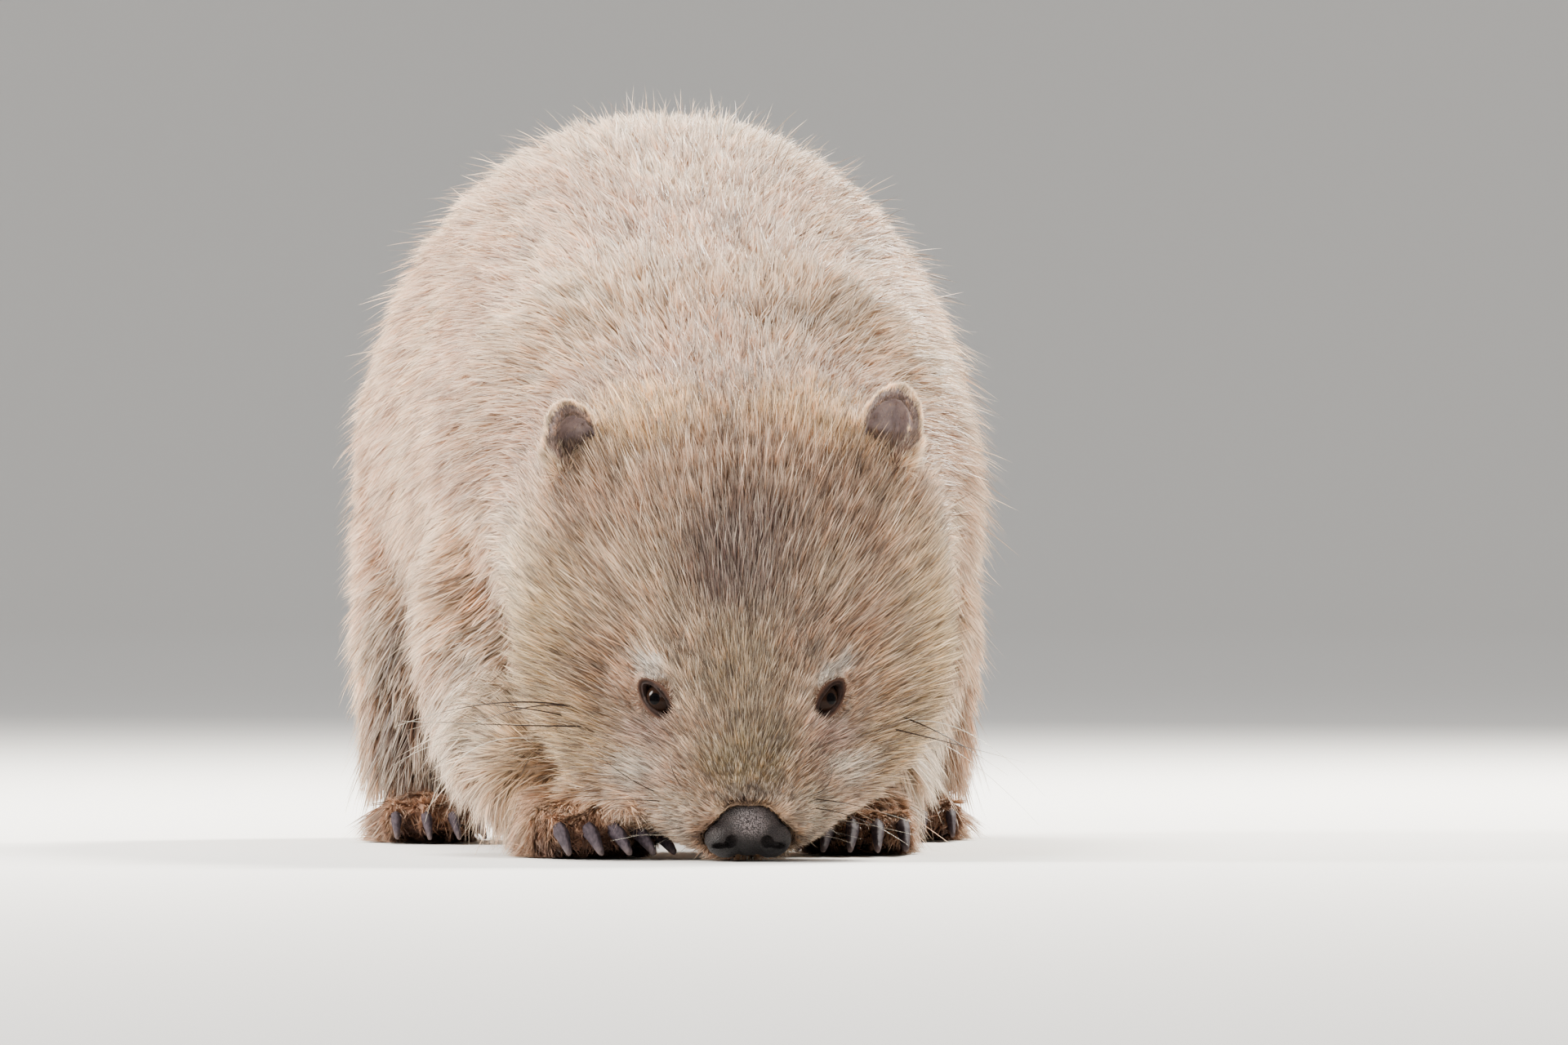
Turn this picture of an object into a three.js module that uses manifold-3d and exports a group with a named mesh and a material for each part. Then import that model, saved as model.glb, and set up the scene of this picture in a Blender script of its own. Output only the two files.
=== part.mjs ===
import * as THREE from "three";
import { mergeVertices } from "three/addons/utils/BufferGeometryUtils.js";
import Module from "manifold-3d";

// A bare-nosed wombat, life size, grazing with its head down.
// Millimetres. +Z is up, the animal faces -Y, and its left side is +X.
// Every surface is the tips of the coat, as the eye sees the outline.

const wasm = await Module();
wasm.setup();

const GAP = 0.35; // between one piece and the next
const FLOOR = 0;
const BIG = 1400; // larger than the animal, for cutting boxes

// Driving dimensions, all out to the tips of the coat.
const RUMP_HEIGHT = 368;
const WITHERS_HEIGHT = 282;
const BELLY_HEIGHT = 55;
const HIP_HALF_WIDTH = 154;
const WITHERS_HALF_WIDTH = 136;
const WAIST_HALF_WIDTH = 141;
const NOSE_TO_RUMP = 752;
const NOSE_HEIGHT = 15.5; // middle of the nose pad, from the floor
const EYE_SPREAD = 80; // between the middles of the two eyes
const EYE_RADIUS = 11;
const EYE_LENGTH = 21; // of the opening between the lids
const EYE_OPENING = 10.5;
const EYE_PROUD = 3.4; // how far the ball stands out of the head's curve
const EAR_LENGTH = 40;
const EAR_WIDTH = 31;
const EAR_SPREAD = 140; // between the two ears at their roots
const EAR_TILT = 4; // the left ear stands higher by this, the right one lower
const NOSE_WIDTH = 42;
const FOREFOOT_WIDTH = 60;
const HINDFOOT_WIDTH = 54;

const degrees = THREE.MathUtils.degToRad;
const vector = (x, y, z) => new THREE.Vector3(x, y, z);

// Closed solids, joined and cut.

function solid(geometry) {
  const bare = geometry.clone();
  for (const name of Object.keys(bare.attributes)) {
    if (name !== "position") bare.deleteAttribute(name);
  }
  const merged = mergeVertices(bare, 1e-3);
  return new wasm.Manifold(
    new wasm.Mesh({
      numProp: 3,
      vertProperties: new Float32Array(merged.attributes.position.array),
      triVerts: new Uint32Array(merged.index.array),
    }),
  );
}

function joined(solids) {
  return solids.reduce((whole, piece) => whole.add(piece));
}

function largest(piece) {
  return piece.decompose().reduce((most, p) => (p.volume() > most.volume() ? p : most));
}

function box(low, high) {
  const size = high.clone().sub(low);
  const middle = low.clone().add(high).multiplyScalar(0.5);
  return solid(new THREE.BoxGeometry(size.x, size.y, size.z).translate(middle.x, middle.y, middle.z));
}

const underFloor = box(vector(-BIG, -BIG, -BIG), vector(BIG, BIG, FLOOR));

// An egg: a sphere of the given half sizes, turned and then placed.
function egg(middle, half, turn = [0, 0, 0], sides = 20, rows = 12, grow = 0) {
  const shape = new THREE.SphereGeometry(1, sides, rows);
  shape.scale(half[0] + grow, half[1] + grow, half[2] + grow);
  shape.applyMatrix4(
    new THREE.Matrix4().makeRotationFromEuler(new THREE.Euler(...turn.map(degrees), "ZYX")),
  );
  return solid(shape.translate(middle.x, middle.y, middle.z));
}

// A body lofted through stations. Each station has its middle `at`, its half width `half`, how far it
// reaches above (`up`) and below (`down`) the middle, how much its top narrows (`taper`), how square it
// is (`square`, 2 for an ellipse), and the way that its sides and top point.
class Loft {
  constructor(stations, { firstTip, lastTip, sides = 24, steps = 4, capSteps = 4, swells = [] }) {
    Object.assign(this, { stations, firstTip, lastTip, sides, steps, capSteps, swells });
    const curve = (pick) => new THREE.CatmullRomCurve3(stations.map(pick), false, "catmullrom", 0.5);
    this.middles = curve((s) => s.at);
    this.reaches = curve((s) => vector(s.half, s.up, s.down));
    this.forms = curve((s) => vector(s.taper ?? 0, s.square ?? 2, 0));
    this.sideways = curve((s) => s.side);
    this.upwards = curve((s) => s.top);
    this.last = stations.length - 1;
  }

  // The section at t, from 0 at the first station to `last` at the last; -1 and last + 1 are the tips.
  section(t) {
    const inside = Math.min(Math.max(t, 0), this.last) / this.last;
    const at = this.middles.getPoint(inside);
    const reach = this.reaches.getPoint(inside);
    const form = this.forms.getPoint(inside);
    const beyond = t < 0 ? -t : Math.max(0, t - this.last);
    const quarter = ((1 - beyond) * Math.PI) / 2;
    if (beyond > 0) {
      at.lerp(t < 0 ? this.firstTip : this.lastTip, Math.cos(quarter));
      reach.multiplyScalar(Math.sin(quarter));
    }
    const side = this.sideways.getPoint(inside).normalize();
    const top = this.upwards.getPoint(inside).normalize();
    return { at, half: reach.x, up: reach.y, down: reach.z, taper: form.x, square: form.y, side, top };
  }

  // The surface at t and at an angle round the section, 0 at the top; grow moves it outwards.
  point(t, angle, grow = 0) {
    const s = this.section(t);
    const shrink = 2 / s.square;
    const across = Math.sign(Math.sin(angle)) * Math.abs(Math.sin(angle)) ** shrink;
    const high = Math.sign(Math.cos(angle)) * Math.abs(Math.cos(angle)) ** shrink;
    const place = s.at
      .clone()
      .addScaledVector(s.side, (s.half + grow) * across * (1 - s.taper * high))
      .addScaledVector(s.top, (high > 0 ? s.up + grow : s.down + grow) * high);
    for (const swell of this.swells) {
      const near = Math.exp(-place.distanceToSquared(swell.at) / swell.radius ** 2);
      if (near > 1e-3) place.addScaledVector(swell.push, near);
    }
    return place;
  }

  rows() {
    const rows = [];
    for (let i = 1; i < this.capSteps; i++) rows.push(-1 + i / this.capSteps);
    this.stations.slice(0, -1).forEach((s, i) => {
      const steps = s.steps ?? this.steps;
      for (let j = 0; j < steps; j++) rows.push(i + j / steps);
    });
    rows.push(this.last);
    for (let i = 1; i < this.capSteps; i++) rows.push(this.last + i / this.capSteps);
    return rows;
  }

  solid(grow = 0) {
    const rows = this.rows();
    const sheet = new THREE.SphereGeometry(1, this.sides, rows.length + 1);
    const place = sheet.attributes.position;
    const tips = [this.firstTip.clone(), this.lastTip.clone()];
    const along = this.lastTip.clone().sub(this.firstTip).normalize();
    tips[0].addScaledVector(along, -grow);
    tips[1].addScaledVector(along, grow);
    const mid = this.section(this.last / 2);
    const turn = Math.sign(mid.side.clone().cross(mid.top).dot(along)) * 2 * Math.PI;
    for (let row = 0, i = 0; row <= rows.length + 1; row++) {
      for (let side = 0; side <= this.sides; side++, i++) {
        const atTip = row === 0 ? tips[0] : row === rows.length + 1 ? tips[1] : null;
        const p = atTip ?? this.point(rows[row - 1], ((side % this.sides) / this.sides) * turn, grow);
        place.setXYZ(i, p.x, p.y, p.z);
      }
    }
    return solid(sheet);
  }
}

const X = vector(1, 0, 0);

// A station across the body, from the depth and height of its top line and of its bottom line.
function bodyStation([topY, topZ], [lowY, lowZ], half, taper, square, steps) {
  const high = vector(0, topY, topZ);
  const low = vector(0, lowY, lowZ);
  const reach = high.distanceTo(low);
  return {
    at: low.clone().lerp(high, 0.48),
    half,
    up: reach * 0.52,
    down: reach * 0.48,
    taper,
    square,
    side: X,
    top: high.clone().sub(low),
    steps,
  };
}

// A swell raises or sinks the surface near a place; each one has a twin on the other side.
const swell = (at, radius, push) => ({ at, radius, push });
const acrossTheMiddle = (v) => v.clone().setX(-v.x);
function mirrored(list) {
  const twin = (s) => swell(acrossTheMiddle(s.at), s.radius, acrossTheMiddle(s.push));
  return list.flatMap((s) => [s, twin(s)]);
}

const eyeOutwards = (side) => vector(side * 0.56, -0.82, 0.1).normalize();
function eyeMiddle(side) {
  const opening = vector((side * EYE_SPREAD) / 2, 43, 76);
  return opening.addScaledVector(eyeOutwards(side), EYE_PROUD - EYE_RADIUS);
}

// Head, neck and trunk are one loft from the muzzle to the rump.
const trunkStations = [
  bodyStation([7, 30], [14, 2], 27, 0, 2.4, 2),
  bodyStation([14, 44], [35, 2], 40, 0.1, 2.3, 3),
  bodyStation([21, 64], [57, 6], 52, 0.28, 2.2, 3),
  bodyStation([29, 93], [84, 14], 69, 0.42, 2.1, 3),
  bodyStation([36, 124], [108, 28], 89, 0.26, 2.1, 3),
  bodyStation([44, 156], [124, 46], 101, 0.12, 2.1, 2),
  bodyStation([62, 189], [136, 60], 104, 0.08, 2.1, 2),
  bodyStation([98, 217], [150, 68], 107, 0.06, 2.1, 2),
  bodyStation([150, 240], [172, 70], 114, 0.02, 2.1, 2),
  bodyStation([206, 264], [206, 66], 123, 0, 2.1, 2),
  bodyStation([264, WITHERS_HEIGHT + 6], [258, BELLY_HEIGHT], WITHERS_HALF_WIDTH, 0, 2.2, 3),
  bodyStation([345, 315], [340, BELLY_HEIGHT - 7], WAIST_HALF_WIDTH, 0, 2.1, 3),
  bodyStation([435, 342], [430, BELLY_HEIGHT - 9], 147, 0.03, 2.1, 3),
  bodyStation([520, RUMP_HEIGHT - 4], [520, BELLY_HEIGHT - 4], HIP_HALF_WIDTH, 0.06, 2.1, 3),
  bodyStation([598, RUMP_HEIGHT - 1], [598, BELLY_HEIGHT + 12], HIP_HALF_WIDTH - 2, 0.08, 2.1, 3),
  bodyStation([668, RUMP_HEIGHT - 24], [664, BELLY_HEIGHT + 36], 137, 0.06, 2.1, 3),
];
const trunkSwells = mirrored([
  swell(vector(22, 12, 17), 17, vector(3, -2, 2)), // whisker pad
  swell(vector(EYE_SPREAD / 2 + 5, 42, 78), 15, vector(-2, 3, 0)), // eye hollow
  swell(vector(30, 36, 106), 24, vector(1, -3, 1)), // brow
  swell(vector(92, 82, 92), 42, vector(4, 0, 0)), // cheek
  swell(vector(58, 262, 268), 42, vector(3, 0, 5)), // shoulder blade
  swell(vector(44, 560, 364), 40, vector(0, 0, 3)), // hip bone
]);
const trunkLoft = new Loft(trunkStations, {
  firstTip: vector(0, 2, 14),
  lastTip: vector(0, NOSE_TO_RUMP - 6, 214),
  sides: 34,
  capSteps: 4,
  swells: trunkSwells,
});

// A limb station: a ring across the way that the limb runs.
function limbStation(at, along, half, deep, steps) {
  const way = along.clone().normalize();
  const side = X.clone().addScaledVector(way, -way.x).normalize();
  return { at, half, up: deep, down: deep, side, top: side.clone().cross(way).negate(), steps };
}

// A limb through a list of [place, half width, half depth], with round ends.
function limb(points, { sides = 20, steps = 3, ends = [0.7, 0.7], square = 2, capSteps = 3 }) {
  const places = points.map(([p]) => p);
  const ways = places.map((p, i) => {
    const before = places[Math.max(0, i - 1)];
    const after = places[Math.min(places.length - 1, i + 1)];
    return after.clone().sub(before);
  });
  const stations = points.map(([p, half, deep], i) => ({
    ...limbStation(p, ways[i], half, deep, steps),
    square,
  }));
  const reach = (i, share, sign) =>
    places[i].clone().addScaledVector(ways[i].clone().normalize(), sign * share * points[i][1]);
  return new Loft(stations, {
    firstTip: reach(0, ends[0], -1),
    lastTip: reach(places.length - 1, ends[1], 1),
    sides,
    steps,
    capSteps,
  });
}

// Where each leg stands: the side that it is on, and the places of its joints.
const LEGS = {
  foreleg_right: {
    side: -1,
    front: true,
    points: [
      [vector(-70, 254, 192), 50, 64],
      [vector(-92, 254, 138), 50, 62],
      [vector(-100, 224, 92), 46, 50],
      [vector(-92, 174, 60), 41, 39],
      [vector(-83, 132, 40), 36, 30],
    ],
    foot: vector(-72, 104, 0),
    turn: 14,
  },
  foreleg_left: {
    side: 1,
    front: true,
    points: [
      [vector(70, 256, 190), 50, 62],
      [vector(85, 262, 132), 47, 60],
      [vector(84, 254, 88), 42, 50],
      [vector(75, 228, 58), 35, 38],
      [vector(68, 198, 38), 31, 30],
    ],
    foot: vector(66, 172, 0),
    turn: -8,
  },
  hindleg_right: {
    side: -1,
    front: false,
    points: [
      [vector(-98, 590, 215), 58, 92],
      [vector(-105, 566, 160), 55, 104],
      [vector(-115, 528, 100), 46, 74],
      [vector(-123, 516, 58), 36, 50],
      [vector(-126, 512, 36), 30, 40],
    ],
    foot: vector(-127, 490, 0),
    turn: 6,
  },
  hindleg_left: {
    side: 1,
    front: false,
    points: [
      [vector(98, 600, 215), 58, 92],
      [vector(105, 582, 160), 55, 104],
      [vector(115, 556, 100), 46, 74],
      [vector(122, 550, 58), 36, 50],
      [vector(124, 548, 36), 30, 40],
    ],
    foot: vector(124, 526, 0),
    turn: -8,
  },
};

// A foot in its own axes: toes towards -Y, the sole at the floor; then turned and moved into place.
const FOREFOOT = { width: FOREFOOT_WIDTH, length: 84, height: 44, toes: 5, clawLength: 30, clawWidth: 8.5 };
const HINDFOOT = { width: HINDFOOT_WIDTH, length: 98, height: 38, toes: 4, clawLength: 20, clawWidth: 7 };

function toePlaces(foot) {
  return Array.from({ length: foot.toes }, (_, i) => {
    const across = (i / (foot.toes - 1)) * 2 - 1;
    const forwards = foot.length * 0.5 - 11 - 12 * across ** 2;
    return { across, at: vector(across * (foot.width / 2 - 9), -forwards, 12), spread: across * 7 };
  });
}

function placeFoot(piece, leg) {
  return piece.rotate([0, 0, leg.turn]).translate([leg.foot.x, leg.foot.y, leg.foot.z]);
}

function footSolid(leg, grow = 0) {
  const foot = leg.front ? FOREFOOT : HINDFOOT;
  const half = [foot.width / 2, foot.length / 2 - 8, foot.height - 12];
  const pad = egg(vector(0, 8, 10), half, [0, 0, 0], 16, 8, grow);
  const toes = toePlaces(foot).map(({ at, spread }) =>
    egg(at, [7.6, 20, 13], [-8, 0, spread], 8, 6, grow),
  );
  return placeFoot(joined([pad, ...toes]), leg);
}

// A claw: a curved taper from inside the toe down to the floor.
function clawSolid(leg, toe, grow = 0) {
  const foot = leg.front ? FOREFOOT : HINDFOOT;
  const turn = degrees(toe.spread);
  const ahead = vector(Math.sin(turn), -Math.cos(turn), 0);
  const reach = foot.clawLength;
  const place = (out, z) => toe.at.clone().setZ(z).addScaledVector(ahead, out);
  const w = foot.clawWidth / 2;
  const points = [
    [place(8, 15), w, w * 1.1],
    [place(16, 14.5), w * 0.95, w * 1.1],
    [place(16 + reach * 0.4, 11), w * 0.78, w],
    [place(16 + reach * 0.75, 5.6), w * 0.5, w * 0.66],
  ];
  const claw = limb(points, { sides: 6, steps: 1, ends: [0.6, 3.1], capSteps: 2 });
  return placeFoot(claw.solid(grow), leg);
}

const looks = {
  coat: new THREE.MeshStandardMaterial({ color: 0xcdb295, roughness: 0.9, metalness: 0 }),
  ear: new THREE.MeshStandardMaterial({ color: 0x8d7a6c, roughness: 0.9, metalness: 0 }),
  paw: new THREE.MeshStandardMaterial({ color: 0x7a5a45, roughness: 0.85, metalness: 0 }),
  nose: new THREE.MeshStandardMaterial({ color: 0x3d3432, roughness: 0.55, metalness: 0 }),
  eye: new THREE.MeshStandardMaterial({ color: 0x120c09, roughness: 0.05, metalness: 0 }),
  claw: new THREE.MeshStandardMaterial({ color: 0x3b3233, roughness: 0.4, metalness: 0 }),
};

const wombat = new THREE.Group();

function show(name, piece, look) {
  const mesh = largest(piece).getMesh();
  const geometry = new THREE.BufferGeometry();
  geometry.setAttribute("position", new THREE.BufferAttribute(new Float32Array(mesh.vertProperties), 3));
  geometry.setIndex(new THREE.BufferAttribute(new Uint32Array(mesh.triVerts), 1));
  geometry.computeVertexNormals();
  const node = new THREE.Mesh(geometry, looks[look]);
  node.name = name;
  wombat.add(node);
}

// Legs, feet and claws.
function legSolid(name, grow = 0) {
  return limb(LEGS[name].points, { sides: 18, steps: 2, ends: [1, 0.3], square: 2.1 }).solid(grow);
}

for (const [name, leg] of Object.entries(LEGS)) {
  const foot = footSolid(leg).subtract(underFloor);
  const footName = name.replace("leg", "foot");
  show(footName, foot, "paw");
  show(name, legSolid(name).subtract(footSolid(leg, GAP)).subtract(underFloor), "coat");
  const plan = leg.front ? FOREFOOT : HINDFOOT;
  toePlaces(plan).forEach((toe, i) => {
    const claw = clawSolid(leg, toe).subtract(footSolid(leg, GAP)).subtract(underFloor);
    show(`claw_${footName}_${i + 1}`, claw, "claw");
  });
}

// The nose pad, with two nostrils and the groove between them.
function noseSolid(grow = 0) {
  const pad = egg(vector(0, 9, NOSE_HEIGHT), [NOSE_WIDTH / 2 - 5, 10, 13], [0, 0, 0], 18, 10, grow);
  const wings = [-1, 1].map((side) => {
    const half = [NOSE_WIDTH / 2 - 11, 10, 9];
    return egg(vector(side * 11, 9.5, NOSE_HEIGHT - 5), half, [0, side * -18, 0], 12, 8, grow);
  });
  return joined([pad, ...wings]);
}

const nostrils = [-1, 1].flatMap((side) => [
  egg(vector(side * 8.5, 1, 9.5), [3.2, 6, 3.2], [0, 0, side * -20], 8, 6),
  egg(vector(side * 13.5, 2, 7.6), [4.4, 5, 1.6], [0, side * 12, side * -30], 8, 6),
]);
const groove = egg(vector(0, -1, 3), [0.8, 3.5, 8], [0, 0, 0], 8, 6);
show("nose", noseSolid().subtract(joined([...nostrils, groove])), "nose");

// Eyes: a ball in each socket.
function eyeBall(side, grow = 0) {
  return egg(eyeMiddle(side), [EYE_RADIUS, EYE_RADIUS, EYE_RADIUS], [0, 0, 0], 14, 9, grow);
}
show("eye_left", eyeBall(1), "eye");
show("eye_right", eyeBall(-1), "eye");

// The lids of an eye are a low mound over the ball, with an almond window cut through it.
function eyeEgg(side, half, out) {
  const outwards = eyeOutwards(side);
  const along = vector(side * 0.5, 0.2, 0.84);
  along.addScaledVector(outwards, -along.dot(outwards)).normalize();
  const shape = new THREE.SphereGeometry(1, 18, 10);
  shape.applyMatrix4(new THREE.Matrix4().makeScale(...half));
  shape.applyMatrix4(new THREE.Matrix4().makeBasis(along, outwards.clone().cross(along), outwards));
  const at = eyeMiddle(side).addScaledVector(outwards, out);
  return solid(shape.translate(at.x, at.y, at.z));
}
const lids = (side) => eyeEgg(side, [14, 9, 4.6], EYE_RADIUS - EYE_PROUD + 0.6);
const lidWindow = (side) => eyeEgg(side, [EYE_LENGTH / 2, EYE_OPENING / 2, 6.5], EYE_RADIUS + 2);

const cutters = [
  ...toePlaces(FOREFOOT).map((toe) => clawSolid(LEGS.foreleg_right, toe, GAP)),
  ...Object.keys(LEGS).map((name) => legSolid(name, GAP)),
  ...Object.values(LEGS).map((leg) => footSolid(leg, GAP)),
];
let whole = trunkLoft.solid();
for (const side of [-1, 1]) whole = whole.add(lids(side)).subtract(lidWindow(side));
for (const cutter of cutters) whole = whole.subtract(cutter);
whole = whole.subtract(noseSolid(GAP)).subtract(eyeBall(1, GAP)).subtract(eyeBall(-1, GAP));

// A thin sheet at a place, across a way, which parts the body there.
function parting(at, way, thick = GAP) {
  const sheet = new THREE.BoxGeometry(BIG, BIG, thick);
  sheet.applyQuaternion(new THREE.Quaternion().setFromUnitVectors(vector(0, 0, 1), way.clone().normalize()));
  return solid(sheet.translate(at.x, at.y, at.z));
}

const ahead = (at, way) => {
  const slab = new THREE.BoxGeometry(BIG, BIG, BIG).translate(0, 0, -BIG / 2 - GAP / 2);
  slab.applyQuaternion(new THREE.Quaternion().setFromUnitVectors(vector(0, 0, 1), way.clone().normalize()));
  return solid(slab.translate(at.x, at.y, at.z));
};

const napeCut = [vector(0, 131, 150), vector(0, 1, 0.06)];
const shoulderCut = [vector(0, 214, 160), vector(0, 1, 0.12)];
const headWhole = whole.intersect(ahead(...napeCut));
const frontHalf = whole.intersect(ahead(...shoulderCut));
const neck = frontHalf.subtract(ahead(...napeCut)).subtract(parting(...napeCut, 3 * GAP));
const trunk = whole.subtract(ahead(...shoulderCut)).subtract(parting(...shoulderCut, 3 * GAP));
show("neck", neck, "coat");
show("trunk", trunk, "coat");

// The lower jaw is parted from the head along the mouth.
const MOUTH = [
  [-4, 4.5],
  [9, 6.5],
  [24, 9],
  [42, 16],
  [62, 27],
  [74, 20],
  [96, -20],
  [-4, -20],
];
function jawBlock(grow) {
  const outline = new THREE.Shape(
    MOUTH.map(([y, z], i) => new THREE.Vector2(y + (i > 3 && i < 7 ? grow : 0), z + (i < 6 ? grow : 0))),
  );
  const block = new THREE.ExtrudeGeometry(outline, { depth: 240, bevelEnabled: false, steps: 1 });
  return solid(block.applyMatrix4(new THREE.Matrix4().makeBasis(vector(0, 1, 0), vector(0, 0, 1), X)))
    .translate([-120, 0, 0]);
}
show("jaw", headWhole.intersect(jawBlock(0)), "coat");
show("head", headWhole.subtract(jawBlock(1.1)), "coat");

// Ears: a thick leaf with a cup in its front.
function earSolid(side) {
  const root = vector((side * EAR_SPREAD) / 2, 105, 181 + side * EAR_TILT);
  const leafHalf = [EAR_WIDTH / 2, 9.5, EAR_LENGTH * 0.62];
  const cupHalf = [EAR_WIDTH / 2 - 4.5, 9.5, EAR_LENGTH * 0.52 - 3.5];
  const leaf = egg(vector(0, 0, EAR_LENGTH * 0.42), leafHalf, [0, 0, 0], 16, 10);
  const cup = egg(vector(side * 1.5, -9, EAR_LENGTH * 0.46), cupHalf, [0, 0, 0], 14, 9);
  return leaf
    .subtract(cup)
    .rotate([-8, side * 14, side * -24])
    .translate([root.x, root.y, root.z]);
}
const grownHead = trunkLoft.solid(GAP);
show("ear_left", earSolid(1).subtract(grownHead), "ear");
show("ear_right", earSolid(-1).subtract(grownHead), "ear");

// The tail is a stub, almost lost in the coat.
const tail = limb(
  [
    [vector(0, 728, 236), 17, 15],
    [vector(0, 744, 220), 14, 12],
    [vector(0, 755, 204), 9, 8],
  ],
  { sides: 10, steps: 1, ends: [0.5, 0.9] },
);
show("tail", tail.solid().subtract(grownHead), "coat");

// The origin is on the floor, under the middle of the animal.
wombat.updateMatrixWorld(true);
const bounds = new THREE.Box3().setFromObject(wombat, true);
const middle = bounds.getCenter(new THREE.Vector3());
wombat.position.set(-middle.x, -middle.y, -FLOOR);

export default wombat;
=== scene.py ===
"""The looks of a life-size still model of a bare-nosed wombat that grazes with its head down.

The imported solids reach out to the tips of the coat. Here one skin lies inside them, and a coat of
mesh hair grows back out to them. Lengths are in metres unless a name ends in _mm. Places on the
animal are given in millimetres from the ground under the tip of its nose: x to its left, y towards
its tail, z up.
"""

import logging
import math
from dataclasses import dataclass, field
from enum import Enum
from typing import Callable, Iterable, Sequence

import bmesh
import bpy
import numpy as np
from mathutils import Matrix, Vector
from mathutils.bvhtree import BVHTree
from mathutils.kdtree import KDTree


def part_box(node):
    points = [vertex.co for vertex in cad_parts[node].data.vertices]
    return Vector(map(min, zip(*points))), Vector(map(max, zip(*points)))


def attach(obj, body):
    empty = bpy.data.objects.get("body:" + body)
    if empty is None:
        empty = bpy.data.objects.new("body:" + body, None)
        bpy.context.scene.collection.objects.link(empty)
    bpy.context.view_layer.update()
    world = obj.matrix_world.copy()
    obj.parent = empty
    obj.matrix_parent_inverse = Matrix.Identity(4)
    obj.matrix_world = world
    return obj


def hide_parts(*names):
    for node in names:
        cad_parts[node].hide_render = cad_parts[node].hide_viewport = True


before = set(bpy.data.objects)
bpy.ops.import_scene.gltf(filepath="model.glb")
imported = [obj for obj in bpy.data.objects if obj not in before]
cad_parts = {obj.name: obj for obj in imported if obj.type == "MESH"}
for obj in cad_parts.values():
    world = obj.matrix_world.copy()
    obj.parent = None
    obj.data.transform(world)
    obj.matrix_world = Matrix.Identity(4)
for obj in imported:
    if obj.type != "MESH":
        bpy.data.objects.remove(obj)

logging.basicConfig(level=logging.INFO, format="%(message)s")
log = logging.getLogger("wombat")

Array = np.ndarray
MM = 0.001
ROOT_BODY = "root"
BAKE_MAP = "OFBake"

FLESH = (
    "head", "jaw", "neck", "trunk", "tail",
    "foreleg_left", "foreleg_right", "hindleg_left", "hindleg_right",
    "forefoot_left", "forefoot_right", "hindfoot_left", "hindfoot_right",
)
EYES = ("eye_left", "eye_right")
EARS = ("ear_left", "ear_right")


def origin() -> Array:
    """Gives the ground point under the tip of the nose.

    Returns:
        Its place in the CAD frame, in metres.
    """
    low, high = (np.array(corner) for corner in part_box("nose"))
    return np.array([(low[0] + high[0]) / 2, low[1] + 1.0 * MM, 0.0])


ORIGIN = origin()


def to_metres(places_mm: Sequence[float] | Array) -> Array:
    """Turns places on the animal into the CAD frame.

    Args:
        places_mm: One place or many, in millimetres from the nose.

    Returns:
        The same places in metres.
    """
    return np.asarray(places_mm, dtype=float) * MM + ORIGIN


def to_mm(places: Array) -> Array:
    """Turns places in the CAD frame into millimetres from the nose.

    Args:
        places: Places in metres, one a row.

    Returns:
        The same places on the animal.
    """
    return (places - ORIGIN) / MM


def unit(vectors: Array) -> Array:
    """Scales vectors to length one.

    Args:
        vectors: One vector, or one a row.

    Returns:
        The unit vectors.
    """
    return vectors / np.maximum(np.linalg.norm(vectors, axis=-1, keepdims=True), 1e-12)


def flattened(way: Array, normal: Array) -> Array:
    """Lays directions into the plane of a surface.

    Args:
        way: Directions, one a row.
        normal: The surface's normals.

    Returns:
        Unit vectors in that plane.
    """
    return unit(way - normal * np.sum(way * normal, axis=1, keepdims=True) + 1e-6)


def linear(red: int, green: int, blue: int) -> tuple[float, float, float, float]:
    """Turns a screen colour into a linear one.

    Args:
        red: Red, 0 to 255.
        green: Green, 0 to 255.
        blue: Blue, 0 to 255.

    Returns:
        Linear red, green, blue and alpha.
    """
    channels = [c / 255 for c in (red, green, blue)]
    curve = [c / 12.92 if c <= 0.04045 else ((c + 0.055) / 1.055) ** 2.4 for c in channels]
    return (curve[0], curve[1], curve[2], 1.0)


def bump(distance: Array, inner: float, outer: float) -> Array:
    """Falls smoothly from one to nothing.

    Args:
        distance: Distances.
        inner: Where the fall starts.
        outer: Where it has ended.

    Returns:
        One up to inner, zero from outer on.
    """
    share = np.clip((outer - distance) / (outer - inner), 0, 1)
    return share * share * (3 - 2 * share)


def within(p: Array, place: Sequence[float] | Array, inner: float, outer: float) -> Array:
    """Says how near places are to one place.

    Args:
        p: Places, one a row.
        place: The one place.
        inner: One up to this distance.
        outer: Zero from this distance on.

    Returns:
        A share from 0 to 1 for each place.
    """
    return bump(np.linalg.norm(p - np.asarray(place), axis=1), inner, outer)


def layered(base: float, layers: Sequence[tuple[float, Array]]) -> Array:
    """Starts from one value everywhere and draws it to others, one after another.

    Args:
        base: The value to start from.
        layers: Each value, and how strongly from 0 to 1 it holds at each place.

    Returns:
        The value at each place.
    """
    value = np.full(len(layers[0][1]), base)
    for target, share in layers:
        value += (target - value) * share
    return value


def turned(way: Array, other: Array, share: Array) -> Array:
    """Turns directions towards others.

    Args:
        way: Directions, one a row.
        other: The directions that they turn to.
        share: How far, from 0 to 1, for each row.

    Returns:
        The mixed directions.
    """
    return way * (1 - share[:, None]) + other * share[:, None]


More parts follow.
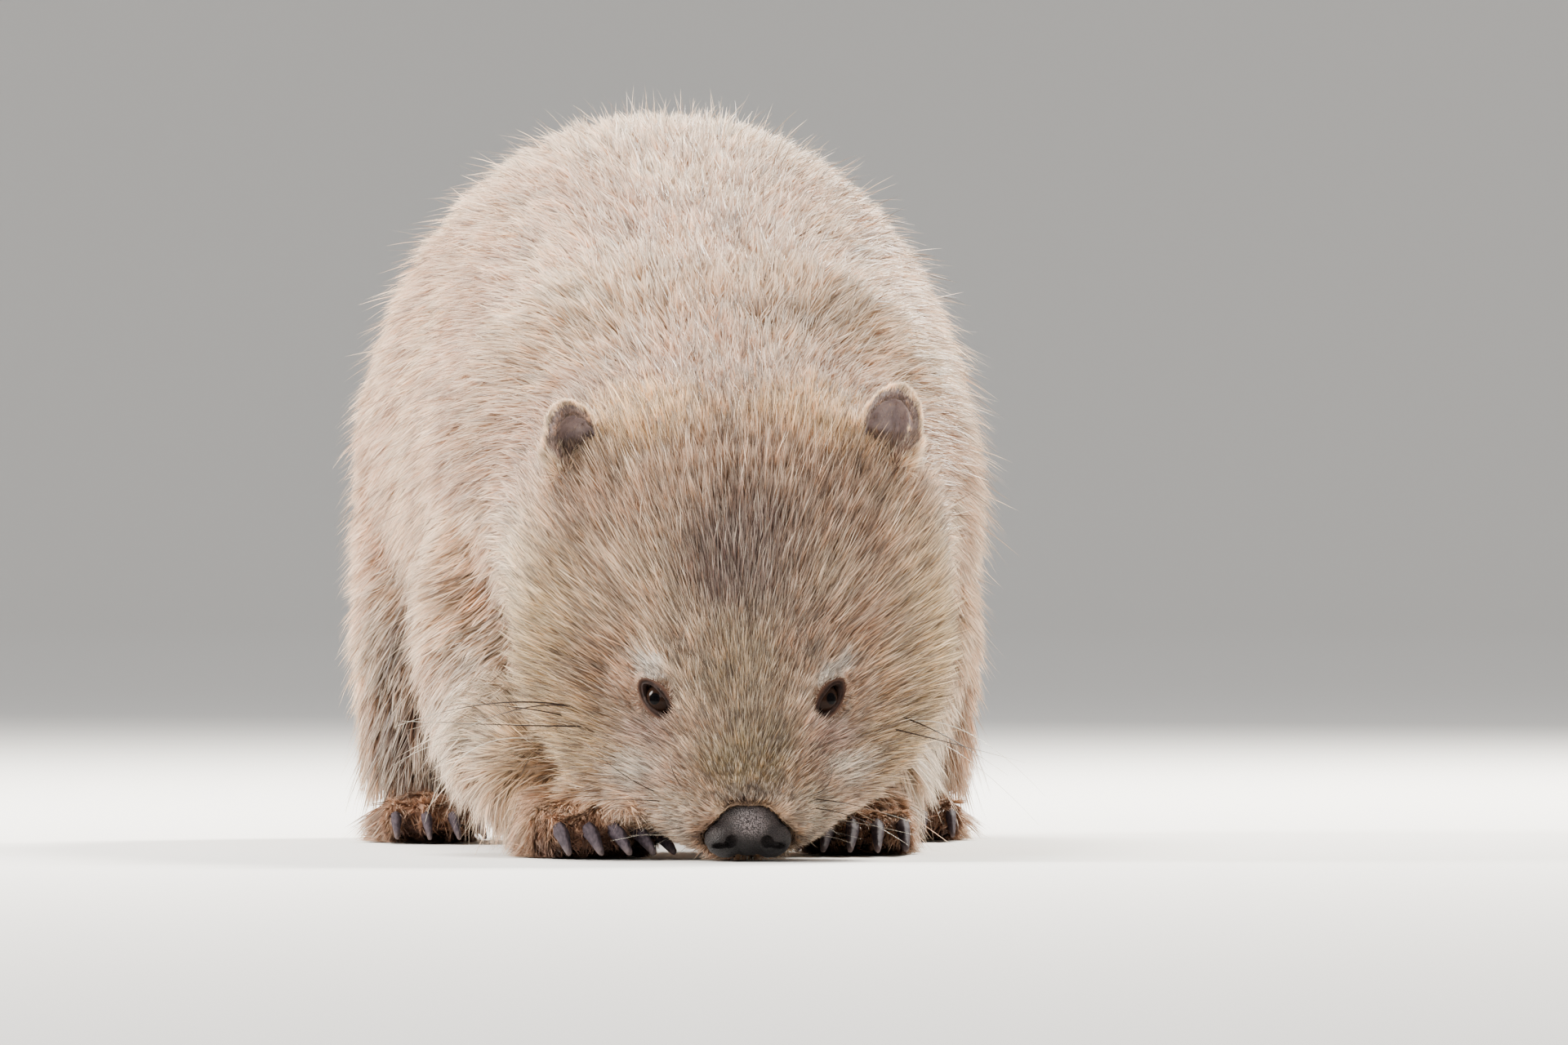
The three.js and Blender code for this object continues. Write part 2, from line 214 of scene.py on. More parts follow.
class Anatomy:
    """Where things are on the animal, and how its coat lies there. All in millimetres."""

    nose = np.array([0.0, 2.0, 16.0])
    whorl = nose + np.array([0, -14, -2])  # the hair of the head runs away from here
    eye = np.array([40.0, 43.0, 76.0])
    eye_out = unit(np.array([0.56, -0.82, 0.1]))
    eye_slant = np.array([0.7, 0.2, 0.7])
    eye_along = unit(eye_slant - eye_out * (eye_out @ eye_slant))
    eye_half = (9.4, 3.4)  # of the opening between the lids
    ear_root = np.array([70.0, 106.0, 183.0])
    toes = (  # the middle of each foot's toes, and how far they reach
        (np.array([-67.0, 82.0, 8.0]), 44.0),
        (np.array([63.0, 150.0, 8.0]), 42.0),
        (np.array([-122.5, 450.0, 8.0]), 38.0),
        (np.array([118.0, 486.0, 8.0]), 38.0),
    )
    # the middle of each leg, sideways and back, and how far it reaches
    columns = ((-90, 200, 70), (80, 235, 66), (-118, 520, 80), (118, 550, 80))

    @classmethod
    def folded(cls, p: Array) -> Array:
        """Folds places onto the left side."""
        return np.column_stack([np.abs(p[:, 0]), p[:, 1], p[:, 2]])

    @classmethod
    def near(cls, p: Array, place: Array, inner: float, outer: float) -> Array:
        """Says how near places are to one that lies on both sides of the body."""
        return within(cls.folded(p), place, inner, outer)

    @classmethod
    def head(cls, p: Array) -> Array:
        """Says how much places belong to the head.

        Args:
            p: Places, one a row.

        Returns:
            A share from 0 to 1 for each place.
        """
        back = p[:, 1] + 0.12 * (p[:, 2] - 140)
        throat = -16 - 24 * (p[:, 1] > 60)
        return bump(back, 105, 165) * bump(-p[:, 2], -46, throat)

    @classmethod
    def front(cls, p: Array) -> Array:
        """Says how much places lie in front of the shoulders."""
        return bump(p[:, 1], 110, 190)

    @classmethod
    def feet(cls, p: Array) -> Array:
        """Says how much places belong to the toes.

        Args:
            p: Places, one a row.

        Returns:
            A share from 0 to 1 for each place.
        """
        share = np.zeros(len(p))
        for toe, reach in cls.toes:
            flat = np.linalg.norm((p - toe) * np.array([1.0, 0.9, 0]), axis=1)
            share = np.maximum(share, bump(flat, reach - 14, reach) * bump(p[:, 2], 22, 36))
        return share

    @classmethod
    def soles(cls, p: Array) -> Array:
        """Says how much places lie close to the ground."""
        return bump(p[:, 2], 4, 26)

    @classmethod
    def hem(cls, p: Array) -> Array:
        """Says how much places belong to the hair that hangs over the feet."""
        return cls.legs(p) * bump(np.abs(p[:, 2] - 48), 16, 40)

    @classmethod
    def legs(cls, p: Array) -> Array:
        """Says how much places belong to a leg.

        Args:
            p: Places, one a row.

        Returns:
            A share from 0 to 1 for each place.
        """
        share = np.zeros(len(p))
        for x, y, reach in cls.columns:
            flat = np.hypot(p[:, 0] - x, (p[:, 1] - y) * 0.8)
            share = np.maximum(share, bump(flat, reach * 0.8, reach * 1.3))
        return share * bump(p[:, 2], 90, 150) * (1 - cls.head(p))

    @classmethod
    def muzzle(cls, p: Array) -> Array:
        """Says how much places belong to the short-haired muzzle."""
        return within(p, (0, 22, 24), 16, 74)

    @classmethod
    def eye_gap(cls, p: Array) -> Array:
        """Gives about how far places lie outside the opening of an eye.

        Args:
            p: Places, one a row.

        Returns:
            The distance for each place, less than zero inside the opening.
        """
        offset = cls.folded(p) - cls.eye
        long = offset @ cls.eye_along
        wide = offset @ np.cross(cls.eye_out, cls.eye_along)
        ring = np.maximum(np.hypot(long / cls.eye_half[0], wide / cls.eye_half[1]), 0.05)
        return np.linalg.norm(offset, axis=1) * (1 - 1 / ring)

    @classmethod
    def depth(cls, p: Array) -> Array:
        """Gives how deep the skin lies under the tips of the coat.

        Args:
            p: Places, one a row.

        Returns:
            The depth at each place.
        """
        return layered(11.5, (
            (8.5, cls.front(p)),
            (8.0, cls.legs(p)),
            (2.0, cls.muzzle(p)),
            (2.6, cls.feet(p)),
            (1.2, cls.near(p, cls.eye, 12, 30)),
            (4.5, cls.near(p, cls.ear_root, 18, 40)),
        ))

    @classmethod
    def length(cls, p: Array) -> Array:
        """Gives how long the hair is.

        Args:
            p: Places, one a row.

        Returns:
            The length at each place.
        """
        return layered(27.0, (
            (20.0, cls.front(p)),
            (23.0, cls.legs(p)),
            (31.0, cls.hem(p)),
            (10.5, within(p, (0, 25, 62), 26, 84)),
            (6.2, within(p, (0, 8, 18), 18, 50)),
            (12.5, np.maximum(cls.feet(p), cls.soles(p))),
            (3.4, bump(cls.eye_gap(p), 3.0, 13.0)),
        ))

    @classmethod
    def lift(cls, p: Array) -> Array:
        """Gives the angle at which the hair leaves the skin.

        Args:
            p: Places, one a row.

        Returns:
            The angle at each place, in radians.
        """
        over_nose = (p - np.array([0, 14, 33])) * np.array([0.8, 1, 1])
        return np.radians(layered(27.0, (
            (30.0, cls.front(p)),
            (18.0, cls.muzzle(p)),
            (24.0, cls.hem(p)),
            (20.0, cls.feet(p)),
            (52.0, bump(np.linalg.norm(over_nose, axis=1), 10, 32)),
            (13.0, bump(cls.eye_gap(p), 3.0, 12.0)),
        )))

    @classmethod
    def lie(cls, p: Array, normal: Array) -> Array:
        """Gives the way in which the hair lies.

        Args:
            p: Places, one a row.
            normal: The skin's outward normals there.

        Returns:
            Unit vectors in the plane of the skin.
        """
        count = len(p)
        side = np.sign(p[:, 0]) * bump(-np.abs(p[:, 0]), -60, 0)
        flank = np.abs(normal[:, 0])
        rear = bump(-p[:, 1], -775, -500)
        body = np.column_stack([side * 0.12, np.full(count, 1.0), -0.18 - 0.75 * flank - 1.5 * rear])
        down = np.column_stack([side * 0.1, np.full(count, 0.12), np.full(count, -1.0)])
        toes = np.tile((0.0, -1.0, -0.35), (count, 1))
        eye = cls.eye * np.column_stack([np.where(p[:, 0] > 0, 1.0, -1.0), np.ones((count, 2))])
        way = turned(unit(body), unit(p - cls.whorl), cls.front(p))
        way = turned(way, unit(down), cls.legs(p) * (1 - cls.head(p)))
        way = turned(way, unit(toes), cls.feet(p))
        way = turned(way, unit(p - eye), 0.85 * bump(cls.eye_gap(p), 2.5, 9.0))
        return flattened(way, normal)


class Surface:
    """A mesh's places, normals and triangles, as arrays."""

    def __init__(self, mesh: bpy.types.Mesh) -> None:
        """Reads a mesh.

        Args:
            mesh: The mesh.
        """
        count = len(mesh.vertices)
        self.places = np.empty(count * 3)
        mesh.vertices.foreach_get("co", self.places)
        self.places = self.places.reshape(-1, 3)
        self.normals = np.empty(count * 3)
        mesh.vertices.foreach_get("normal", self.normals)
        self.normals = self.normals.reshape(-1, 3)
        mesh.calc_loop_triangles()
        self.triangles = np.empty(len(mesh.loop_triangles) * 3, dtype=np.int64)
        mesh.loop_triangles.foreach_get("vertices", self.triangles)
        self.triangles = self.triangles.reshape(-1, 3)

    def sample(
        self, rng: np.random.Generator, count: int, weight: Callable[[Array], Array]
    ) -> tuple[Array, Array]:
        """Draws places on the surface.

        Args:
            rng: The seeded source of chance.
            count: How many places.
            weight: Gives, for places on the animal in millimetres, how densely they are drawn.

        Returns:
            The places in metres and the normals there.
        """
        corners = self.places[self.triangles]
        sides = corners[:, 1:] - corners[:, :1]
        area = np.linalg.norm(np.cross(sides[:, 0], sides[:, 1]), axis=1)
        chance = area * np.maximum(weight(to_mm(corners.mean(axis=1))), 0)
        picked = rng.choice(len(chance), size=count, p=chance / chance.sum())
        a, b = rng.random((2, count))
        over = a + b > 1
        a[over], b[over] = 1 - a[over], 1 - b[over]
        shares = np.column_stack([1 - a - b, a, b])[:, :, None]
        places = (corners[picked] * shares).sum(axis=1)
        normals = unit((self.normals[self.triangles[picked]] * shares).sum(axis=1))
        return places, normals


def tree_of(places: Array) -> KDTree:
    """Makes a tree that finds the nearest of some places.

    Args:
        places: The places, one a row.

    Returns:
        The tree.
    """
    tree = KDTree(len(places))
    for i, place in enumerate(places.tolist()):
        tree.insert(place, i)
    tree.balance()
    return tree


def nearest(tree: KDTree, places: Array) -> Array:
    """Gives the numbers of a tree's places that are nearest to others."""
    return np.array([tree.find(place)[1] for place in places.tolist()])


def hoops(rings: int, around: int, first: int = 0) -> list[tuple[int, int, int, int]]:
    """Joins rings of vertices by faces.

    Args:
        rings: How many rings.
        around: How many vertices a ring has.
        first: The number of the first vertex.

    Returns:
        The vertices of each face.
    """
    faces = []
    for ring in range(rings - 1):
        a, b = first + ring * around, first + (ring + 1) * around
        for i in range(around):
            j = (i + 1) % around
            faces.append((a + i, b + i, b + j, a + j))
    return faces


def link(name: str, mesh: bpy.types.Mesh) -> bpy.types.Object:
    """Puts a smooth mesh into the scene.

    Args:
        name: The name of the piece.
        mesh: Its mesh.

    Returns:
        The new object.
    """
    piece = bpy.data.objects.new(name, mesh)
    bpy.context.scene.collection.objects.link(piece)
    mesh.polygons.foreach_set("use_smooth", np.full(len(mesh.polygons), True))
    return piece


def welded(nodes: Iterable[str], grow: float) -> bpy.types.Mesh:
    """Joins copies of CAD nodes, each moved out a little so that neighbours overlap.

    Args:
        nodes: The names of the nodes.
        grow: How far each vertex moves along its normal.

    Returns:
        One mesh.
    """
    whole = bmesh.new()
    for name in nodes:
        part = bmesh.new()
        part.from_mesh(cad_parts[name].data)
        bmesh.ops.remove_doubles(part, verts=part.verts, dist=2e-5)
        bmesh.ops.recalc_face_normals(part, faces=part.faces)
        part.normal_update()
        moves = [v.normal * grow for v in part.verts]
        for vertex, move in zip(part.verts, moves):
            vertex.co += move
        mesh = bpy.data.meshes.new("part")
        part.to_mesh(mesh)
        part.free()
        whole.from_mesh(mesh)
        bpy.data.meshes.remove(mesh)
    mesh = bpy.data.meshes.new("welded")
    whole.to_mesh(mesh)
    whole.free()
    return mesh


def remeshed(mesh: bpy.types.Mesh, voxel: float) -> bpy.types.Mesh:
    """Rebuilds a mesh as one closed surface of even faces.

    Args:
        mesh: The mesh, used up.
        voxel: The size of the faces.

    Returns:
        The new mesh.
    """
    worker = bpy.data.objects.new("worker", mesh)
    bpy.context.scene.collection.objects.link(worker)
    modifier = worker.modifiers.new("even", "REMESH")
    modifier.mode = "VOXEL"
    modifier.voxel_size = voxel
    modifier.adaptivity = 0
    graph = bpy.context.evaluated_depsgraph_get()
    new = bpy.data.meshes.new_from_object(worker.evaluated_get(graph))
    bpy.data.objects.remove(worker)
    bpy.data.meshes.remove(mesh)
    return new


def smoothed(mesh: bpy.types.Mesh, rounds: int, strength: Callable[[Array], Array] | None = None) -> None:
    """Evens out a mesh without shrinking it.

    Args:
        mesh: The mesh, changed in place.
        rounds: How many times.
        strength: Gives, for places in metres, how strongly from 0 to 1.
    """
    surface = Surface(mesh)
    edges = np.empty(len(mesh.edges) * 2, dtype=np.int64)
    mesh.edges.foreach_get("vertices", edges)
    one, two = edges.reshape(-1, 2).T
    count = len(surface.places)
    degree = np.maximum(np.bincount(one, minlength=count) + np.bincount(two, minlength=count), 1)
    places = surface.places
    share = np.ones(count) if strength is None else strength(places)
    for _ in range(rounds):
        for step in (0.6, -0.62):
            mean = np.column_stack([
                np.bincount(one, places[two, axis], count) + np.bincount(two, places[one, axis], count)
                for axis in range(3)
            ]) / degree[:, None]
            places = places + (mean - places) * (share * step)[:, None]
    mesh.vertices.foreach_set("co", places.ravel())
    mesh.update()


def store(mesh: bpy.types.Mesh, name: str, values: Array) -> None:
    """Keeps a vector for each vertex.

    Args:
        mesh: The mesh.
        name: The attribute's name.
        values: One row a vertex.
    """
    attribute = mesh.attributes.new(name, "FLOAT_VECTOR", "POINT")
    attribute.data.foreach_set("vector", np.ascontiguousarray(values, dtype=np.float32).ravel())


# Colours and materials


class Nodes:
    """Short calls that add and link the nodes of one node tree."""

    def __init__(self, tree: bpy.types.NodeTree) -> None:
        """Starts on a tree.

        Args:
            tree: The node tree.
        """
        self.tree = tree

    def put(self, socket: bpy.types.NodeSocket, value: object) -> None:
        """Links an output to a socket, or sets the socket's own value.

        Args:
            socket: The input socket.
            value: An output socket, a number, or a sequence of numbers.
        """
        if isinstance(value, bpy.types.NodeSocket):
            self.tree.links.new(value, socket)
        else:
            socket.default_value = value

    def fill(self, node: bpy.types.Node, inputs: dict[object, object]) -> None:
        """Gives several inputs of a node their values.

        Args:
            node: The node.
            inputs: Values or outputs, by the name or number of the input.
        """
        for key, value in inputs.items():
            self.put(node.inputs[key], value)

    def add(
        self, kind: str, inputs: dict[object, object] | None = None, **settings: object
    ) -> bpy.types.Node:
        """Adds a node.

        Args:
            kind: The node's type.
            inputs: Values or outputs for its input sockets, by name or number.
            **settings: Properties of the node.

        Returns:
            The node.
        """
        node = self.tree.nodes.new(kind)
        for name, value in settings.items():
            setattr(node, name, value)
        self.fill(node, inputs or {})
        return node

    def stored(self, name: str) -> bpy.types.NodeSocket:
        """Gives a vector that is stored on the mesh."""
        return self.add("ShaderNodeAttribute", attribute_name=name).outputs["Vector"]

    def split(self, vector: object) -> Sequence[bpy.types.NodeSocket]:
        """Gives the three numbers of a vector."""
        return self.add("ShaderNodeSeparateXYZ", {0: vector}).outputs

    def scaled(self, vector: object, factor: float) -> bpy.types.NodeSocket:
        """Makes a vector longer or shorter by a factor."""
        inputs = {0: vector, "Scale": factor}
        return self.add("ShaderNodeVectorMath", inputs, operation="SCALE").outputs["Vector"]

    def math(self, operation: str, *values: object, clamp: bool = False) -> bpy.types.NodeSocket:
        """Adds a sum on numbers.

        Args:
            operation: The operation.
            *values: Its inputs.
            clamp: Whether the result is kept from 0 to 1.

        Returns:
            The result.
        """
        node = self.add("ShaderNodeMath", dict(enumerate(values)), operation=operation, use_clamp=clamp)
        return node.outputs[0]

    def vector(self, operation: str, *values: object) -> bpy.types.NodeSocket:
        """Adds a sum on vectors.

        Args:
            operation: The operation.
            *values: Its inputs.

        Returns:
            The result, a number for a length.
        """
        node = self.add("ShaderNodeVectorMath", dict(enumerate(values)), operation=operation)
        return node.outputs["Value" if operation in ("LENGTH", "DOT_PRODUCT") else "Vector"]

    def noise(self, place: object, scale: float, detail: float = 3) -> bpy.types.NodeSocket:
        """Adds noise.

        Args:
            place: Where it is read.
            scale: Its scale, per metre.
            detail: Its octaves.

        Returns:
            The noise, from 0 to 1.
        """
        values = {"Vector": place, "Scale": scale, "Detail": detail, "Roughness": 0.55}
        return self.add("ShaderNodeTexNoise", values).outputs["Fac"]

    def span(
        self, value: object, low: float, high: float, new_low: float = 0, new_high: float = 1
    ) -> bpy.types.NodeSocket:
        """Maps a range smoothly onto another.

        Args:
            value: The number.
            low: Start of its range.
            high: End of its range.
            new_low: What the start becomes.
            new_high: What the end becomes.

        Returns:
            The mapped number.
        """
        inputs = {"Value": value, 1: low, 2: high, 3: new_low, 4: new_high}
        node = self.add("ShaderNodeMapRange", inputs, interpolation_type="SMOOTHSTEP")
        return node.outputs["Result"]

    def dim(self, colour: object, share: object) -> bpy.types.NodeSocket:
        """Multiplies a colour by a number.

        Args:
            colour: The colour.
            share: The number.

        Returns:
            The colour.
        """
        grey = self.add("ShaderNodeCombineColor", {0: share, 1: share, 2: share}).outputs[0]
        return self.mix(1.0, colour, grey, "MULTIPLY")

    def mix(self, share: object, one: object, two: object, blend: str = "MIX") -> bpy.types.NodeSocket:
        """Mixes two colours.

        Args:
            share: How much of the second.
            one: The first colour.
            two: The second colour.
            blend: The way of mixing.

        Returns:
            The colour.
        """
        node = self.add("ShaderNodeMix", data_type="RGBA", blend_type=blend)
        self.put(node.inputs["Factor"], share)
        self.put(node.inputs[6], one)
        self.put(node.inputs[7], two)
        return node.outputs[2]


@dataclass(frozen=True)
class Patch:
    """A soft patch of colour on the coat, alike on both sides.

    Attributes:
        place: Its middle, in millimetres from the nose, on the left side.
        reach: Its half sizes in millimetres.
        colour: Its linear colour.
        strength: How strong it is in its middle.
    """

    place: tuple[float, float, float]
    reach: tuple[float, float, float]
    colour: tuple[float, float, float, float]
    strength: float


COAT_BASE = linear(240, 210, 180)
COAT_BLOTCH = linear(206, 166, 138)
COAT_DAPPLE = linear(196, 154, 126)
PATCHES = (
    Patch((128, 330, 110), (60, 130, 75), linear(206, 176, 148), 0.6),  # flank
    Patch((0, 420, 40), (110, 300, 50), linear(172, 150, 128), 0.6),  # belly
    Patch((0, 560, 372), (130, 190, 60), linear(242, 224, 200), 0.55),  # rump top
    Patch((126, 470, 82), (32, 54, 76), linear(106, 84, 74), 1.0),  # front of the thigh: painted shadow of the body
    Patch((92, 190, 74), (50, 60, 50), linear(252, 240, 226), 0.85),  # foreleg: its pale cream, made paler still as a painted highlight
    Patch((112, 118, 112), (26, 60, 80), linear(246, 232, 214), 0.7),  # outer edge of the cheek: painted highlight of light from behind
    Patch((60, 235, 262), (85, 60, 50), linear(240, 216, 184), 0.55),  # withers
    Patch((0, 190, 256), (40, 50, 24), linear(206, 168, 140), 0.6),  # nape
    Patch((44, 100, 205), (38, 50, 26), linear(255, 214, 160), 1.0),  # between the ears
    Patch((96, 96, 98), (44, 60, 62), linear(228, 202, 156), 0.8),  # cheek
    Patch((70, 74, 50), (34, 40, 24), linear(214, 188, 146), 0.75),  # jowl
    Patch((0, 56, 168), (62, 54, 40), linear(196, 158, 132), 0.8),  # brow
    Patch((4, 38, 138), (26, 40, 40), linear(122, 94, 94), 0.9),  # forehead
    Patch((60, 70, 178), (22, 26, 16), linear(176, 144, 116), 0.6),  # in front of the ear
    Patch((0, 28, 88), (22, 26, 28), linear(172, 148, 116), 0.85),  # bridge
    Patch((0, 14, 48), (26, 26, 22), linear(158, 140, 106), 0.9),  # snout
    Patch((27, 22, 24), (16, 22, 14), linear(192, 174, 150), 0.75),  # whisker pad
    Patch((38, 42, 57), (14, 18, 11), linear(192, 158, 148), 0.8),  # under the eye
    Patch((44, 44, 40), (13, 18, 8), linear(246, 234, 220), 0.9),  # pale spot under it
    Patch((42, 42, 88), (9, 13, 4.5), linear(252, 246, 240), 1.0),  # over the eye
    Patch((40, 44, 75), (12, 14, 12), linear(122, 92, 74), 0.75),  # round the eye
    Patch((31, 36, 97), (5, 12, 9), linear(120, 96, 82), 0.6),  # inner brow
    Patch((0, 6, 31), (16, 10, 4), linear(92, 66, 54), 0.8),  # above the nose
    Patch((22, 9, 10), (9, 12, 10), linear(122, 98, 84), 0.7),  # beside the nose
)


class CoatMarkings:
    """The coat's colours as one shared node group.

    It takes a place, and gives the colour, how much the place belongs to a paw, and how light the
    lock of hair is.
    """

    NAME = "Coat markings"

    @classmethod
    def group(cls) -> bpy.types.NodeTree:
        """Makes the group once.

        Returns:
            The group.
        """
        if cls.NAME in bpy.data.node_groups:
            return bpy.data.node_groups[cls.NAME]
        tree = bpy.data.node_groups.new(cls.NAME, "ShaderNodeTree")
        tree.interface.new_socket("Place", in_out="INPUT", socket_type="NodeSocketVector")
        for name, kind in (("Color", "Color"), ("Paw", "Float"), ("Lock", "Float")):
            tree.interface.new_socket(name, in_out="OUTPUT", socket_type=f"NodeSocket{kind}")
        nodes = Nodes(tree)
        start = nodes.add("NodeGroupInput").outputs["Place"]
        wander = {"Vector": start, "Scale": 55.0, "Detail": 2.0}
        wander = nodes.add("ShaderNodeTexNoise", wander).outputs["Color"]
        wander = nodes.scaled(nodes.vector("SUBTRACT", wander, (0.5, 0.5, 0.5)), 0.022)
        place = nodes.vector("SUBTRACT", nodes.vector("ADD", start, wander), tuple(ORIGIN))
        place = nodes.scaled(place, 1 / MM)
        axes = nodes.split(place)
        folded = {0: nodes.math("ABSOLUTE", axes[0]), 1: axes[1], 2: axes[2]}
        folded = nodes.add("ShaderNodeCombineXYZ", folded).outputs[0]
        blotch = nodes.noise(start, 16.0)
        dapple = nodes.noise(nodes.vector("MULTIPLY", start, (1.0, 0.5, 1.0)), 46.0, 2)
        dapple = nodes.math("MULTIPLY", nodes.span(dapple, 0.42, 0.64), 0.9)
        colour = nodes.mix(nodes.span(blotch, 0.42, 0.6), COAT_BASE, COAT_BLOTCH)
        colour = nodes.mix(dapple, colour, COAT_DAPPLE)
        for patch in PATCHES:
            reach = nodes.vector("DIVIDE", nodes.vector("SUBTRACT", folded, patch.place), patch.reach)
            share = nodes.span(nodes.vector("LENGTH", reach), 1.35, 0.35, 0, patch.strength)
            colour = nodes.mix(share, colour, patch.colour)
        paws: object = 0.0
        for toe, reach in Anatomy.toes:
            offset = nodes.vector("SUBTRACT", place, tuple(toe))
            offset = nodes.vector("MULTIPLY", offset, (1.0, 0.9, 0.0))
            inside = nodes.span(nodes.vector("LENGTH", offset), reach, reach - 20)
            paws = nodes.math("MAXIMUM", paws, inside)
        paws = nodes.math("MULTIPLY", paws, nodes.span(axes[2], 36, 10))
        brown = nodes.mix(nodes.span(axes[2], 4, 24), linear(108, 76, 62), linear(190, 144, 112))
        lock = nodes.noise(nodes.vector("MULTIPLY", start, (1.0, 0.45, 0.8)), 170.0, 2)
        nodes.fill(nodes.add("NodeGroupOutput"), {
            "Color": nodes.mix(paws, colour, brown),
            "Paw": paws,
            "Lock": nodes.span(lock, 0.34, 0.66, 0.68, 1.18),
        })
        return tree


class Finish:
    """A material made of nodes. A finish fills in `shade`."""

    name = "Finish"

    def material(self) -> bpy.types.Material:
        """Makes the material, once.

        Returns:
            The material.
        """
        if self.name in bpy.data.materials:
            return bpy.data.materials[self.name]
        material = bpy.data.materials.new(self.name)
        material.use_nodes = True
        nodes = Nodes(material.node_tree)
        self.shade(nodes, material.node_tree.nodes["Principled BSDF"])
        return material

    def shade(self, nodes: Nodes, surface: bpy.types.Node) -> None:
        """Adds the nodes.

        Args:
            nodes: The material's nodes.
            surface: Its Principled shader.
        """
        raise NotImplementedError

    def bumped(
        self, nodes: Nodes, surface: bpy.types.Node, height: object, strength: float, distance: float
    ) -> None:
        """Adds relief to the shader.

        Args:
            nodes: The material's nodes.
            surface: Its Principled shader.
            height: The height, from 0 to 1.
            strength: How strong it is.
            distance: How high it is in metres.
        """
        values = {"Height": height, "Strength": strength, "Distance": distance}
        nodes.put(surface.inputs["Normal"], nodes.add("ShaderNodeBump", values).outputs["Normal"])


@dataclass(frozen=True)
class SkinFinish(Finish):
    """The skin under the coat, in the coat's own markings but darker.

    Attributes:
        name: The material's name.
        share: What is left of the markings' red, green and blue.
    """

    name: str = "Skin"
    share: tuple[float, float, float, float] = (0.52, 0.52 * 0.92, 0.52 * 0.86, 1)

    def shade(self, nodes: Nodes, surface: bpy.types.Node) -> None:
        """Adds the nodes.

        Args:
            nodes: The material's nodes.
            surface: Its Principled shader.
        """
        place = nodes.stored("root")
        marks = nodes.add("ShaderNodeGroup", {"Place": place}, node_tree=CoatMarkings.group())
        dark = nodes.mix(1.0, marks.outputs["Color"], self.share, "MULTIPLY")
        dark = nodes.dim(dark, marks.outputs["Lock"])
        nodes.fill(surface, {"Base Color": dark, "Roughness": 0.85})
        self.bumped(nodes, surface, nodes.noise(place, 900.0, 2), 0.4, 0.0006)


class CoatTone(Enum):
    """Which sort of hair a coat piece holds."""

    BODY = "body"
    HEAD = "head"
    FACE = "face"
    PAW = "paw"
    GUARD = "guard"
    STREAK = "streak"
    EAR = "ear"
    RIM = "ear rim"


